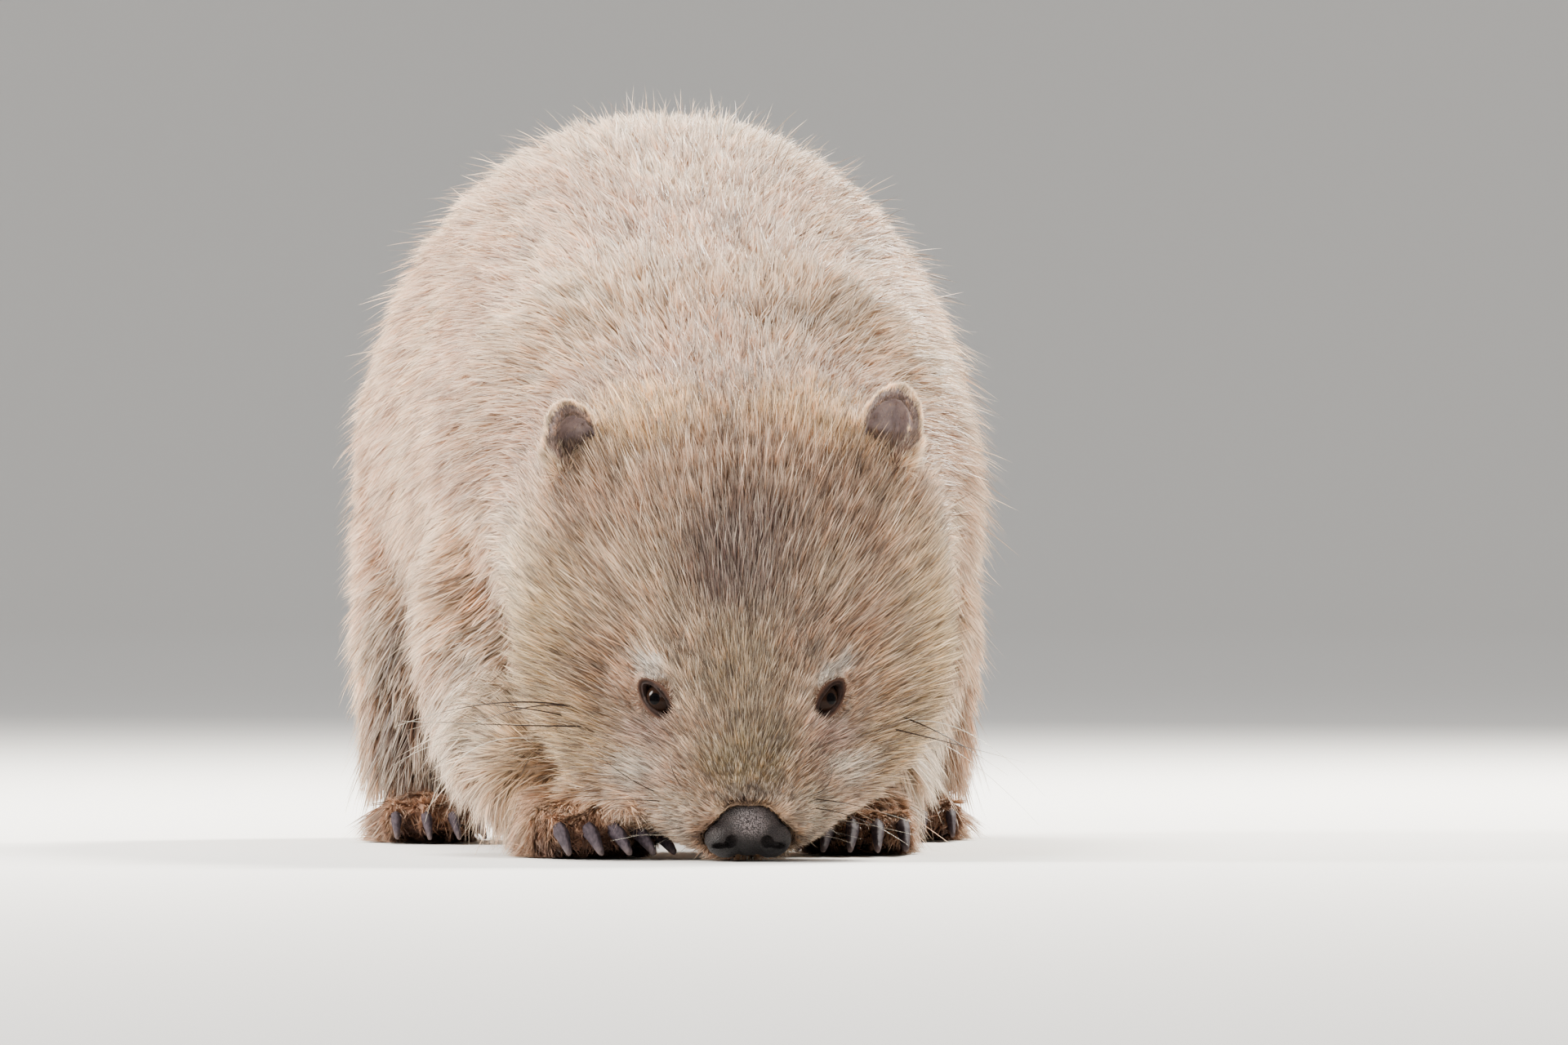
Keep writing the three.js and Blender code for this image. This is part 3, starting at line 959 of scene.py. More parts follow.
@dataclass(frozen=True)
class CoatFinish(Finish):
    """Hair: the coat's markings, paler at the tips, each hair a little its own.

    Attributes:
        tone: The sort of hair.
        root_share: How dark the hair is at its root.
        dark_share: The share of dark hairs.
        dark_from: Where along a dark hair the dark begins.
        glow: How much light comes through.
        pale: How pale the tips are.
        streak: How dark the dark clumps are.
        dye: A colour of its own, over the markings.
        dye_share: How strong that is.
    """

    tone: CoatTone
    root_share: float
    dark_share: float
    dark_from: float
    glow: float
    pale: float
    streak: float
    dye: tuple[float, float, float, float] = (1.0, 1.0, 1.0, 1.0)
    dye_share: float = 0.0

    @property
    def name(self) -> str:
        """Gives the material's name."""
        return f"Coat {self.tone.value}"

    def shade(self, nodes: Nodes, surface: bpy.types.Node) -> None:
        """Adds the nodes.

        Args:
            nodes: The material's nodes.
            surface: Its Principled shader.
        """
        group = CoatMarkings.group()
        marks = nodes.add("ShaderNodeGroup", {"Place": nodes.stored("root")}, node_tree=group)
        along, chance, clump = nodes.split(nodes.stored("strand"))
        base = self.clumped(nodes, marks, clump)
        low = self.root_share
        shade = nodes.add("ShaderNodeCombineColor", {
            0: nodes.span(along, 0.0, 0.62, low, 1.0),
            1: nodes.span(along, 0.0, 0.68, low * 0.90, 1.0),
            2: nodes.span(along, 0.0, 0.76, low * 0.80, 1.0),
        }).outputs[0]
        colour = nodes.mix(1.0, base, shade, "MULTIPLY")
        by_hair = nodes.span(chance, 0, 1, 0.76, 1.18)
        by_clump = nodes.span(clump, 0, 1, -0.16, 0.14)
        colour = nodes.dim(colour, nodes.math("ADD", by_hair, by_clump))
        bright = nodes.mix(0.6, base, linear(255, 243, 222))
        colour = nodes.mix(self.paleness(nodes, marks, along, chance), colour, bright)
        colour = nodes.dim(colour, marks.outputs["Lock"])
        edge = 1 - self.dark_share
        tip = nodes.span(along, self.dark_from, self.dark_from + 0.25)
        dark = nodes.math("MULTIPLY", nodes.span(chance, edge, edge + 0.01), tip)
        colour = nodes.mix(nodes.math("MULTIPLY", dark, 0.8), colour, linear(70, 50, 44))
        nodes.fill(surface, {"Base Color": colour, "Roughness": 0.48, "Specular IOR Level": 0.38})
        through = nodes.add("ShaderNodeBsdfTranslucent", {"Color": colour}).outputs[0]
        both = nodes.add("ShaderNodeMixShader", {0: self.glow, 1: surface.outputs[0], 2: through})
        nodes.put(nodes.tree.nodes["Material Output"].inputs["Surface"], both.outputs[0])

    def furred(self, nodes: Nodes, marks: bpy.types.Node) -> bpy.types.NodeSocket:
        """Gives how much the hair is the coat's own, and not a paw's."""
        return nodes.math("SUBTRACT", 1.0, nodes.math("MULTIPLY", marks.outputs["Paw"], 0.9))

    def clumped(self, nodes: Nodes, marks: bpy.types.Node, clump: object) -> bpy.types.NodeSocket:
        """Colours some clumps of hair warmer and some darker.

        Args:
            nodes: The material's nodes.
            marks: The coat's markings.
            clump: The clump's number.

        Returns:
            The colour.
        """
        furred = self.furred(nodes, marks)
        base = nodes.mix(self.dye_share, marks.outputs["Color"], self.dye)
        warm = nodes.math("MULTIPLY", nodes.span(clump, 0.62, 0.95, 0, 0.28), furred)
        base = nodes.mix(warm, base, linear(212, 162, 114))
        dusky = nodes.math("MULTIPLY", nodes.span(clump, 0.34, 0.06, 0, self.streak), furred)
        return nodes.mix(dusky, base, linear(112, 86, 80))

    def paleness(
        self, nodes: Nodes, marks: bpy.types.Node, along: object, chance: object
    ) -> bpy.types.NodeSocket:
        """Gives how pale a hair is, which grows towards its tip.

        Args:
            nodes: The material's nodes.
            marks: The coat's markings.
            along: How far along the hair.
            chance: The hair's number.

        Returns:
            A share from 0 to 1.
        """
        by_hair = nodes.span(chance, 0.2, 0.6, 0.25, 1.0)
        pale = nodes.math("MULTIPLY", nodes.span(along, 0.4, 0.9), by_hair)
        pale = nodes.math("MULTIPLY", pale, self.pale)
        return nodes.math("MULTIPLY", pale, self.furred(nodes, marks))


@dataclass(frozen=True)
class EarFinish(Finish):
    """Thin grey-brown skin of the ear."""

    name: str = "Ear skin"

    def shade(self, nodes: Nodes, surface: bpy.types.Node) -> None:
        """Adds the nodes.

        Args:
            nodes: The material's nodes.
            surface: Its Principled shader.
        """
        place = nodes.stored("root")
        grey = nodes.span(nodes.noise(place, 120.0), 0.35, 0.65)
        nodes.fill(surface, {
            "Base Color": nodes.mix(grey, linear(128, 108, 104), linear(98, 82, 82)),
            "Roughness": 0.6,
            "Subsurface Weight": 0.15,
            "Subsurface Radius": (0.004, 0.0015, 0.001),
        })
        self.bumped(nodes, surface, nodes.noise(place, 700.0, 2), 0.35, 0.0005)


@dataclass(frozen=True)
class NoseFinish(Finish):
    """Bare granular skin: dark, with paler grains on top of the pad as a painted highlight, painted shade
    on its underside, and a moist sheen.

    Attributes:
        name: The material's name.
        painted_sheen_place: The middle of the paler grains painted as a highlight on top of the pad, in
            millimetres from the nose.
        painted_sheen_reach: Its half sizes in metres.
    """

    name: str = "Nose skin"
    painted_sheen_place: tuple[float, float, float] = (1, 0, 18)
    painted_sheen_reach: tuple[float, float, float] = (0.009, 0.02, 0.008)

    def shade(self, nodes: Nodes, surface: bpy.types.Node) -> None:
        """Adds the nodes.

        Args:
            nodes: The material's nodes.
            surface: Its Principled shader.
        """
        place = nodes.stored("root")
        grains = nodes.add("ShaderNodeTexVoronoi", {"Vector": place, "Scale": 1500.0})
        low = nodes.span(nodes.noise(place, 160.0), 0.35, 0.7)
        height = nodes.span(grains.outputs["Distance"], 0.1, 0.75)
        height = nodes.math("SUBTRACT", 1.0, height, clamp=True)
        # Painted highlight: the grains on top of the pad are made much paler, as if lit from above.
        spot = nodes.vector("SUBTRACT", place, tuple(to_metres(self.painted_sheen_place)))
        spot = nodes.vector("DIVIDE", spot, self.painted_sheen_reach)
        painted_sheen = nodes.span(nodes.vector("LENGTH", spot), 1.2, 0.3)
        share = nodes.math("ADD", nodes.math("MULTIPLY", painted_sheen, 0.75), 0.06)
        share = nodes.math("MULTIPLY", height, share)
        colour = nodes.mix(low, linear(34, 28, 28), linear(50, 41, 40))
        colour = nodes.mix(share, colour, linear(176, 162, 162))
        # Painted shade: the pad turns almost black towards the ground.
        deep = nodes.span(nodes.split(place)[2], 0.016, 0.006, 0, 0.85)
        nodes.fill(surface, {
            "Base Color": nodes.mix(deep, colour, linear(16, 13, 13)),
            "Roughness": nodes.span(low, 0, 1, 0.45, 0.62),
            "Specular IOR Level": 0.35,
        })
        self.bumped(nodes, surface, height, 0.75, 0.0007)


@dataclass(frozen=True)
class EyeFinish(Finish):
    """A wet dark brown eye with a black pupil."""

    name: str = "Eye"

    def shade(self, nodes: Nodes, surface: bpy.types.Node) -> None:
        """Adds the nodes.

        Args:
            nodes: The material's nodes.
            surface: Its Principled shader.
        """
        radius, turn, _ = nodes.split(nodes.stored("gaze"))
        wheel = {0: nodes.math("MULTIPLY", turn, 6.0), 1: radius}
        wheel = nodes.add("ShaderNodeCombineXYZ", wheel).outputs[0]
        iris = nodes.mix(nodes.noise(wheel, 5.0), linear(40, 25, 17), linear(20, 12, 9))
        colour = nodes.mix(nodes.span(radius, 0.30, 0.36), linear(5, 4, 5), iris)
        colour = nodes.mix(nodes.span(radius, 0.72, 0.86), colour, linear(20, 13, 11))
        nodes.fill(surface, {"Base Color": colour, "Roughness": 0.12, "Specular IOR Level": 0.05})


@dataclass(frozen=True)
class LidFinish(Finish):
    """Dark bare edges of the eyelids, paler away from the eye."""

    name: str = "Eyelid"

    def shade(self, nodes: Nodes, surface: bpy.types.Node) -> None:
        """Adds the nodes.

        Args:
            nodes: The material's nodes.
            surface: Its Principled shader.
        """
        place = nodes.stored("root")
        outer = nodes.split(nodes.stored("ring"))[0]
        spots = nodes.span(nodes.noise(place, 420.0), 0.3, 0.7)
        colour = nodes.mix(spots, linear(28, 18, 15), linear(44, 29, 24))
        colour = nodes.mix(nodes.span(outer, 0.35, 1.0), colour, linear(92, 64, 50))
        nodes.fill(surface, {"Base Color": colour, "Roughness": 0.65, "Specular IOR Level": 0.12})
        self.bumped(nodes, surface, nodes.noise(place, 1500.0, 2), 0.4, 0.0003)


@dataclass(frozen=True)
class ClawFinish(Finish):
    """Worn dark horn: grey-violet, streaked along its length, paler at the tip."""

    name: str = "Claw horn"

    def shade(self, nodes: Nodes, surface: bpy.types.Node) -> None:
        """Adds the nodes.

        Args:
            nodes: The material's nodes.
            surface: Its Principled shader.
        """
        place = nodes.stored("root")
        streaks = nodes.noise(nodes.vector("MULTIPLY", place, (1.0, 0.14, 0.6)), 900.0, 4)
        colour = nodes.mix(nodes.span(streaks, 0.3, 0.7), linear(44, 38, 43), linear(70, 61, 66))
        tip = nodes.span(nodes.split(place)[2], 0.008, 0.002, 0, 0.3)
        nodes.fill(surface, {
            "Base Color": nodes.mix(tip, colour, linear(116, 102, 94)),
            "Roughness": nodes.span(streaks, 0.2, 0.8, 0.6, 0.75),
            "Specular IOR Level": 0.05,
        })
        self.bumped(nodes, surface, streaks, 0.5, 0.0004)


@dataclass(frozen=True)
class WhiskerFinish(Finish):
    """Stiff whiskers, dark or pale by the stored tone."""

    name: str = "Whisker"

    def shade(self, nodes: Nodes, surface: bpy.types.Node) -> None:
        """Adds the nodes.

        Args:
            nodes: The material's nodes.
            surface: Its Principled shader.
        """
        along, pale, _ = nodes.split(nodes.stored("strand"))
        share = nodes.math("MAXIMUM", pale, nodes.span(along, 0.62, 1.0, 0, 0.9))
        colour = nodes.mix(share, linear(48, 38, 34), linear(238, 228, 208))
        nodes.fill(surface, {"Base Color": colour, "Roughness": 0.35})


@dataclass(frozen=True)
class FloorFinish(Finish):
    """Plain pale studio floor."""

    name: str = "Floor"

    def shade(self, nodes: Nodes, surface: bpy.types.Node) -> None:
        """Adds the nodes.

        Args:
            nodes: The material's nodes.
            surface: Its Principled shader.
        """
        nodes.fill(surface, {"Base Color": linear(232, 231, 228), "Roughness": 0.9})


# Pieces


@dataclass
class Skin:
    """One skin for head, body and legs, inside the tips of the coat.

    Attributes:
        voxel: The size of its faces.
        overlap: How far the CAD nodes grow to close the gaps between them.
        proxy_voxel: The size of the faces of the plainer skin that is unwrapped.
        rounds: How often it is smoothed at first.
        steps: In how many steps it moves in.
        lowest: The least height of its places.
        socket_mm: Half sizes of the ring that the skin round an eye is measured by.
        socket_inner: Where, in rings, the skin begins to be laid evenly.
        socket_outer: Where, in rings, the skin that it is fitted to ends.
        socket_depth_mm: How far the skin sinks under the ball.
    """

    voxel: float = 0.0032
    overlap: float = 0.0011
    proxy_voxel: float = 0.012
    rounds: int = 26
    steps: int = 3
    lowest: float = 0.0004
    socket_mm: tuple[float, float] = (9.4, 5.0)
    socket_inner: float = 2.2
    socket_outer: float = 3.4
    socket_depth_mm: float = 6.0
    piece: bpy.types.Object = field(init=False)
    surface: Surface = field(init=False)
    proxy_corners: Array = field(init=False)
    proxy_spots: Array = field(init=False)
    proxy_tree: BVHTree = field(init=False)

    def build(self, eyes: Sequence["Eye"]) -> "Skin":
        """Makes the skin and its unwrap.

        Args:
            eyes: The eyes, each of which gets a socket.

        Returns:
            The skin itself.
        """
        mesh = remeshed(welded(FLESH, self.overlap), self.voxel)
        smoothed(mesh, self.rounds, self.softness)
        for _ in range(self.steps):
            surface = Surface(mesh)
            depth = Anatomy.depth(to_mm(surface.places)) * MM
            share = depth / self.steps + self.overlap / self.steps
            moved = surface.places - surface.normals * share[:, None]
            moved[:, 2] = np.maximum(moved[:, 2], self.lowest)
            mesh.vertices.foreach_set("co", moved.ravel())
            mesh.update()
            smoothed(mesh, 5, self.softness)
        for eye in eyes:
            self.socket(mesh, eye)
        self.surface = Surface(mesh)
        store(mesh, "root", self.surface.places)
        mesh.materials.append(SkinFinish().material())
        self.piece = link("skin", mesh)
        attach(self.piece, ROOT_BODY)
        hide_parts(*FLESH)
        self.unwrap(mesh)
        return self

    def socket(self, mesh: bpy.types.Mesh, eye: "Eye") -> None:
        """Lays the skin evenly round an eye and sinks it under the ball.

        Args:
            mesh: The skin's mesh.
            eye: The eye, which keeps the shape of the skin round it.
        """
        surface = Surface(mesh)
        flat = eye.flat(surface.places)
        ring = np.hypot(flat[:, 0] / self.socket_mm[0], flat[:, 1] / self.socket_mm[1])
        off_ball = np.abs(flat[:, 2] - eye.radius_mm)
        around = (off_ball < 14) & (ring > self.socket_inner) & (ring < self.socket_outer)
        eye.lay(flat[around & (surface.normals @ eye.out > 0.5)])
        inside = (off_ball < 22) & (ring < self.socket_inner)
        sunk = eye.skin_height(flat) - self.socket_depth_mm * bump(ring, 0.95, 1.5)
        share = bump(ring, 1.7, self.socket_inner)
        moved = flat.copy()
        moved[:, 2] += (sunk - moved[:, 2]) * share
        places = surface.places.copy()
        places[inside] = eye.solid(moved[inside])
        mesh.vertices.foreach_set("co", places.ravel())
        mesh.update()

    def softness(self, places: Array) -> Array:
        """Says how much each place is smoothed: least at the toes and round the eyes.

        Args:
            places: Places in metres.

        Returns:
            A share from 0 to 1 for each place.
        """
        p = to_mm(places)
        keep = np.maximum(Anatomy.feet(p) * 0.6, Anatomy.near(p, Anatomy.eye, 16, 34) * 0.5)
        return 1 - np.maximum(keep, 0.35 * Anatomy.muzzle(p))

    def unwrap(self, mesh: bpy.types.Mesh) -> None:
        """Unwraps a plainer copy of the skin for the tufts' map.

        Args:
            mesh: The skin's mesh.
        """
        plain = remeshed(mesh.copy(), self.proxy_voxel)
        worker = link("worker", plain)
        bpy.context.view_layer.objects.active = worker
        worker.select_set(True)
        bpy.ops.object.mode_set(mode="EDIT")
        bpy.ops.mesh.select_all(action="SELECT")
        bpy.ops.uv.smart_project(angle_limit=math.radians(70), island_margin=0.004)
        bpy.ops.object.mode_set(mode="OBJECT")
        plain.calc_loop_triangles()
        count = len(plain.loop_triangles)
        loops = np.empty(count * 3, dtype=np.int64)
        plain.loop_triangles.foreach_get("loops", loops)
        spots = np.empty(len(plain.loops) * 2)
        plain.uv_layers.active.data.foreach_get("uv", spots)
        surface = Surface(plain)
        self.proxy_corners = surface.places[surface.triangles]
        self.proxy_spots = spots.reshape(-1, 2)[loops.reshape(-1, 3)]
        self.proxy_tree = BVHTree.FromPolygons(surface.places.tolist(), surface.triangles.tolist())
        bpy.data.objects.remove(worker)
        bpy.data.meshes.remove(plain)

    def spots(self, places: Array) -> Array:
        """Finds where places lie on the unwrap.

        Args:
            places: Places in metres.

        Returns:
            Their places on the unwrap, one a row.
        """
        found = [self.proxy_tree.find_nearest(place) for place in places.tolist()]
        index = np.array([f[2] for f in found])
        point = np.array([tuple(f[0]) for f in found])
        a, b, c = (self.proxy_corners[index, i] for i in range(3))
        normal = np.cross(b - a, c - a)
        area = np.maximum(np.sum(normal * normal, axis=1), 1e-20)
        v = np.clip(np.sum(np.cross(point - a, c - a) * normal, axis=1) / area, 0, 1)
        w = np.clip(np.sum(np.cross(b - a, point - a) * normal, axis=1) / area, 0, 1)
        u = np.clip(1 - v - w, 0, 1)
        shares = np.column_stack([u, v, w])[:, :, None]
        return (self.proxy_spots[index] * shares).sum(axis=1)


@dataclass(frozen=True)
class CoatPlan:
    """What one sort of hair is like, over the animal's own map of lengths.

    Attributes:
        tone: The sort of hair.
        count: How many hairs a piece holds.
        pieces: How many pieces.
        width_mm: The width of a hair's ribbon near its root.
        reach: Its length, as a share of the coat's own.
        lift: Its angle from the skin, as a share of the coat's own.
        clump_mm: How far apart the tips gather, or 0.
        gather: How strongly they gather.
        stray: How much hairs stray sideways.
        weight: How densely it grows at places on the animal.
        rows: Where along a hair its ribbon has an edge, from root to tip.
        length: Gives its length at places on the animal.
    """

    tone: CoatTone
    count: int
    pieces: int
    width_mm: float
    reach: float
    lift: float
    clump_mm: float
    gather: float
    stray: float
    weight: Callable[[Array], Array]
    rows: tuple[float, ...] = (0.0, 0.5, 1.0)
    length: Callable[[Array], Array] = Anatomy.length

    @property
    def corners(self) -> int:
        """Gives the number of points of a hair."""
        return 2 * len(self.rows) - 1


class Coat:
    """Hair as thin tapering ribbons that grow from a surface."""

    WIDEST = 0.167  # how far from the middle a tip may lie
    LOWEST = 0.0003  # the least height of a hair
    SUNK = 0.0009  # how deep the roots start
    SAG = 0.08  # how much the hair's own weight bends it
    CLUMP = 14  # hairs in a clump
    TAPER = ((0, 0.35, 0.72, 1), (0.8, 1, 0.62, 0))  # places along a hair, and its width there

    def __init__(self, skin: Skin, finish: dict[CoatTone, CoatFinish], seed: int = 7) -> None:
        """Starts a coat.

        Args:
            skin: The skin, also for its unwrap.
            finish: The finish of each sort of hair.
            seed: The seed of every draw.
        """
        self.skin = skin
        self.finish = finish
        self.rng = np.random.default_rng(seed)

    def grow(
        self,
        name: str,
        plan: CoatPlan,
        surface: Surface,
        slot: str,
        lie: Callable[[Array, Array], Array],
    ) -> None:
        """Grows one sort of hair.

        Args:
            name: The pieces' name.
            plan: What the hair is like.
            surface: What it grows from.
            slot: Not used.
            lie: Gives the hair's way from places and normals.
        """
        for i in range(plan.pieces):
            places, normals = surface.sample(self.rng, plan.count, plan.weight)
            mesh = self.ribbons(plan, places, normals, lie)
            mesh.materials.append(self.finish[plan.tone].material())
            piece = link(f"{name}_{i + 1}", mesh)
            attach(piece, ROOT_BODY)
            log.info("%s: %d triangles", piece.name, (plan.corners - 2) * plan.count)

    def ribbons(
        self,
        plan: CoatPlan,
        places: Array,
        normals: Array,
        lie: Callable[[Array, Array], Array],
    ) -> bpy.types.Mesh:
        """Makes the ribbons of one piece.

        Args:
            plan: What the hair is like.
            places: The roots in metres.
            normals: The surface's normals there.
            lie: Gives the hair's way.

        Returns:
            The mesh, with its colour attributes and its map.
        """
        rng, count = self.rng, len(places)
        p = to_mm(places)
        way = lie(p, normals)
        across = unit(np.cross(way, normals))
        swing = rng.normal(0, plan.stray, count)[:, None]
        way = unit(way + across * swing)
        lift = Anatomy.lift(p) * plan.lift * rng.uniform(0.7, 1.3, count)
        length = plan.length(p) * plan.reach * rng.uniform(0.70, 1.18, count) * MM
        rise = unit(way * np.cos(lift)[:, None] + normals * np.sin(lift)[:, None])
        bend = -normals * (np.sin(lift) * rng.uniform(0.15, 0.7, count))[:, None]
        bend = bend + across * rng.normal(0, 0.10, count)[:, None]
        bend[:, 2] -= self.SAG
        path = rise + bend * 0.5
        tip = places + path * length[:, None]
        aside = np.abs(places[:, 0])
        room = (self.WIDEST - aside) / np.maximum(np.abs(tip[:, 0]) - aside, 1e-6)
        length = length * np.where(np.abs(tip[:, 0]) > self.WIDEST, room, 1)
        tip = places + path * length[:, None]
        clump = rng.random(count)
        if plan.clump_mm > 0:
            tip, clump = self.gathered(plan, tip, length)
        bow = tip - places - rise * length[:, None]
        twist = rng.normal(0, 0.55, count)
        side = unit(np.cross(rise, normals))
        flat = side * np.cos(twist)[:, None] + np.cross(rise, side) * np.sin(twist)[:, None]
        width = plan.width_mm * MM * rng.uniform(0.7, 1.25, count)
        sunk = places - normals * self.SUNK
        points = np.empty((count, plan.corners, 3))
        for row, t in enumerate(plan.rows):
            middle = sunk + rise * (length * t)[:, None] + bow * t**1.8
            half = flat * (width * np.interp(t, *self.TAPER) / 2)[:, None]
            points[:, row * 2] = middle - half
            if t < 1:
                points[:, row * 2 + 1] = middle + half
        points[:, :, 2] = np.maximum(points[:, :, 2], self.LOWEST)
        return self.mesh(plan, places, points, rng.random(count), clump)

    def gathered(self, plan: CoatPlan, tip: Array, length: Array) -> tuple[Array, Array]:
        """Draws the tips of neighbouring hairs together.

        Args:
            plan: What the hair is like.
            tip: The tips.
            length: The hairs' lengths.

        Returns:
            The moved tips and the number of each hair's clump, from 0 to 1.
        """
        cells = max(8, int(len(tip) / self.CLUMP))
        middle = tip[self.rng.choice(len(tip), cells, replace=False)]
        own = nearest(tree_of(middle), tip)
        pull = middle[own] - tip
        gap = np.linalg.norm(pull, axis=1, keepdims=True)
        pull *= plan.gather * np.minimum(1, plan.clump_mm * MM / np.maximum(gap, 1e-6))
        gap = np.linalg.norm(pull, axis=1, keepdims=True)
        pull *= np.minimum(1, 0.5 * length[:, None] / np.maximum(gap, 1e-6))
        return tip + pull, self.rng.random(cells)[own]

    def mesh(
        self, plan: CoatPlan, places: Array, points: Array, chance: Array, clump: Array
    ) -> bpy.types.Mesh:
        """Turns ribbon points into a mesh.

        Args:
            plan: What the hair is like.
            places: The roots.
            points: The points of each ribbon.
            chance: A number for each hair.
            clump: Its clump's number.

        Returns:
            The mesh.
        """
        count, corners = len(places), plan.corners
        quads = [q for k in range(0, corners - 3, 2) for q in (k, k + 1, k + 3, k + 2)]
        ribbon = np.array(quads + [corners - 3, corners - 2, corners - 1])
        loops = (np.arange(count)[:, None] * corners + ribbon).ravel()
        sizes = np.tile([4] * (len(quads) // 4) + [3], count)
        mesh = bpy.data.meshes.new("ribbons")
        mesh.vertices.add(count * corners)
        mesh.vertices.foreach_set("co", points.ravel())
        mesh.loops.add(len(loops))
        mesh.loops.foreach_set("vertex_index", loops)
        mesh.polygons.add(len(sizes))
        mesh.polygons.foreach_set("loop_start", np.concatenate([[0], np.cumsum(sizes)[:-1]]))
        mesh.update(calc_edges=True)
        store(mesh, "root", np.repeat(places, corners, axis=0))
        along = np.tile(np.repeat(plan.rows, 2)[:-1], count)
        strand = (along, np.repeat(chance, corners), np.repeat(clump, corners))
        store(mesh, "strand", np.column_stack(strand))
        spots = np.repeat(self.skin.spots(places), corners, axis=0)
        aside = np.tile(np.append(np.tile([-0.5, 0.5], len(plan.rows) - 1), 0), count)
        shift = np.column_stack([aside, along]) * 0.003
        layer = mesh.uv_layers.new(name=BAKE_MAP)
        layer.data.foreach_set("uv", np.clip(spots + shift, 0, 1)[loops].ravel())
        return mesh


@dataclass
class Eye:
    """One eye: a smooth ball with a slight cornea, and its two lids.

    Attributes:
        node: The CAD node that it stands for.
        side: 1 on the left, -1 on the right.
        cornea: How far the cornea stands out, as a share of the radius.
        around: How many places a ring of the lids has.
        rings: How many rings the lids have.
        lid_mm: How wide the lids are.
        roll_mm: How high their roll stands.
        hairs: How many hairs grow on them.
    """

    node: str
    side: int
    cornea: float = 0.05
    around: int = 96
    rings: int = 16
    lid_mm: float = 5.0
    roll_mm: float = 1.5
    hairs: int = 2600

    def __post_init__(self) -> None:
        """Measures the ball and sets the directions along, across and out."""
        low, high = (np.array(corner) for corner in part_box(self.node))
        mirror = np.array([self.side, 1, 1])
        self.middle = (low + high) / 2
        self.radius = float((high - low).mean() / 2)
        self.radius_mm = self.radius / MM
        self.out = Anatomy.eye_out * mirror
        self.along = Anatomy.eye_along * mirror
        self.across = np.cross(self.out, self.along)
        self.curve = np.zeros(6)

    def build(self) -> None:
        """Makes the ball and the lids."""
        self.ball()
        self.lids()

    def flat(self, places: Array) -> Array:
        """Gives places along, across and out from the ball's middle, in millimetres."""
        return (places - self.middle) @ np.column_stack([self.along, self.across, self.out]) / MM

    def solid(self, flat: Array) -> Array:
        """Turns places along, across and out back into metres."""
        return flat @ np.vstack([self.along, self.across, self.out]) * MM + self.middle

    @staticmethod
    def terms(flat: Array) -> Array:
        """Gives the terms of a curved sheet at places along and across."""
        u, v = flat[:, 0], flat[:, 1]
        return np.column_stack([np.ones(len(u)), u, v, u * u, u * v, v * v])

    def lay(self, flat: Array) -> None:
        """Keeps the curved sheet that fits the skin round the eye.

        Args:
            flat: Places of that skin along, across and out.
        """
        self.curve = np.linalg.lstsq(self.terms(flat), flat[:, 2], rcond=None)[0]

    def skin_height(self, flat: Array) -> Array:
        """Gives how far out that sheet lies."""
        return self.terms(flat) @ self.curve

    def ball(self) -> None:
        """Makes the ball, with the iris's places stored on it."""
        shape = bmesh.new()
        bmesh.ops.create_uvsphere(shape, u_segments=64, v_segments=40, radius=1)
        mesh = bpy.data.meshes.new(self.node)
        shape.to_mesh(mesh)
        shape.free()
        surface = Surface(mesh)
        axis = surface.places[:, 2]
        spread = np.hypot(surface.places[:, 0], surface.places[:, 1])
        swell = 1 + self.cornea * bump(np.arccos(np.clip(axis, -1, 1)), 0.25, 0.85)
        turns = np.arctan2(surface.places[:, 1], surface.places[:, 0])
        gaze = np.column_stack([np.where(axis > 0, spread / 0.75, 2), turns, axis])
        turn = np.array(Vector((0, 0, 1)).rotation_difference(Vector(self.out)).to_matrix())
        moved = (surface.places * swell[:, None] * self.radius) @ turn.T + self.middle
        mesh.vertices.foreach_set("co", moved.ravel())
        mesh.update()
        store(mesh, "gaze", gaze)
        mesh.materials.append(EyeFinish().material())
        piece = link(f"{self.node}_ball", mesh)
        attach(piece, ROOT_BODY)
        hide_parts(self.node)

    def lid_ring(self, share: float, turns: Array) -> Array:
        """Gives one ring of the lids.

        Args:
            share: Where it lies, from 0 at the opening to 1 under the skin.
            turns: The angles of its places.

        Returns:
            Its places in metres.
        """
        long, wide = Anatomy.eye_half
        aside = self.lid_mm * share**1.2
        high = np.sin(turns)
        opening = np.column_stack([
            np.cos(turns) * (long + aside),
            np.sign(high) * np.abs(high) ** (1.25 - 0.25 * share) * (wide + aside * 0.9),
        ])
        spread = np.minimum(np.hypot(opening[:, 0], opening[:, 1]), self.radius_mm * 0.97)
        on_ball = np.sqrt(self.radius_mm**2 - spread**2)
        on_skin = self.skin_height(opening)
        roll = self.roll_mm * math.sin(math.pi * min(1.0, share * 3.2) / 2) * (1 - share) ** 0.6
        level = bump(np.full(len(turns), share), 0.08, 0.62)
        out = on_ball * level + on_skin * (1 - level) + roll
        if 0.1 < share < 0.8:
            out = np.maximum(out, on_skin + 0.9 * (1 - share) - 0.2)
        out = out - 1.2 * (share > 0.9) - 0.25 * (share == 0)
        crease = 0.35 * np.exp(-((share - 0.42) / 0.07) ** 2)
        return self.solid(np.column_stack([opening, out - crease]))

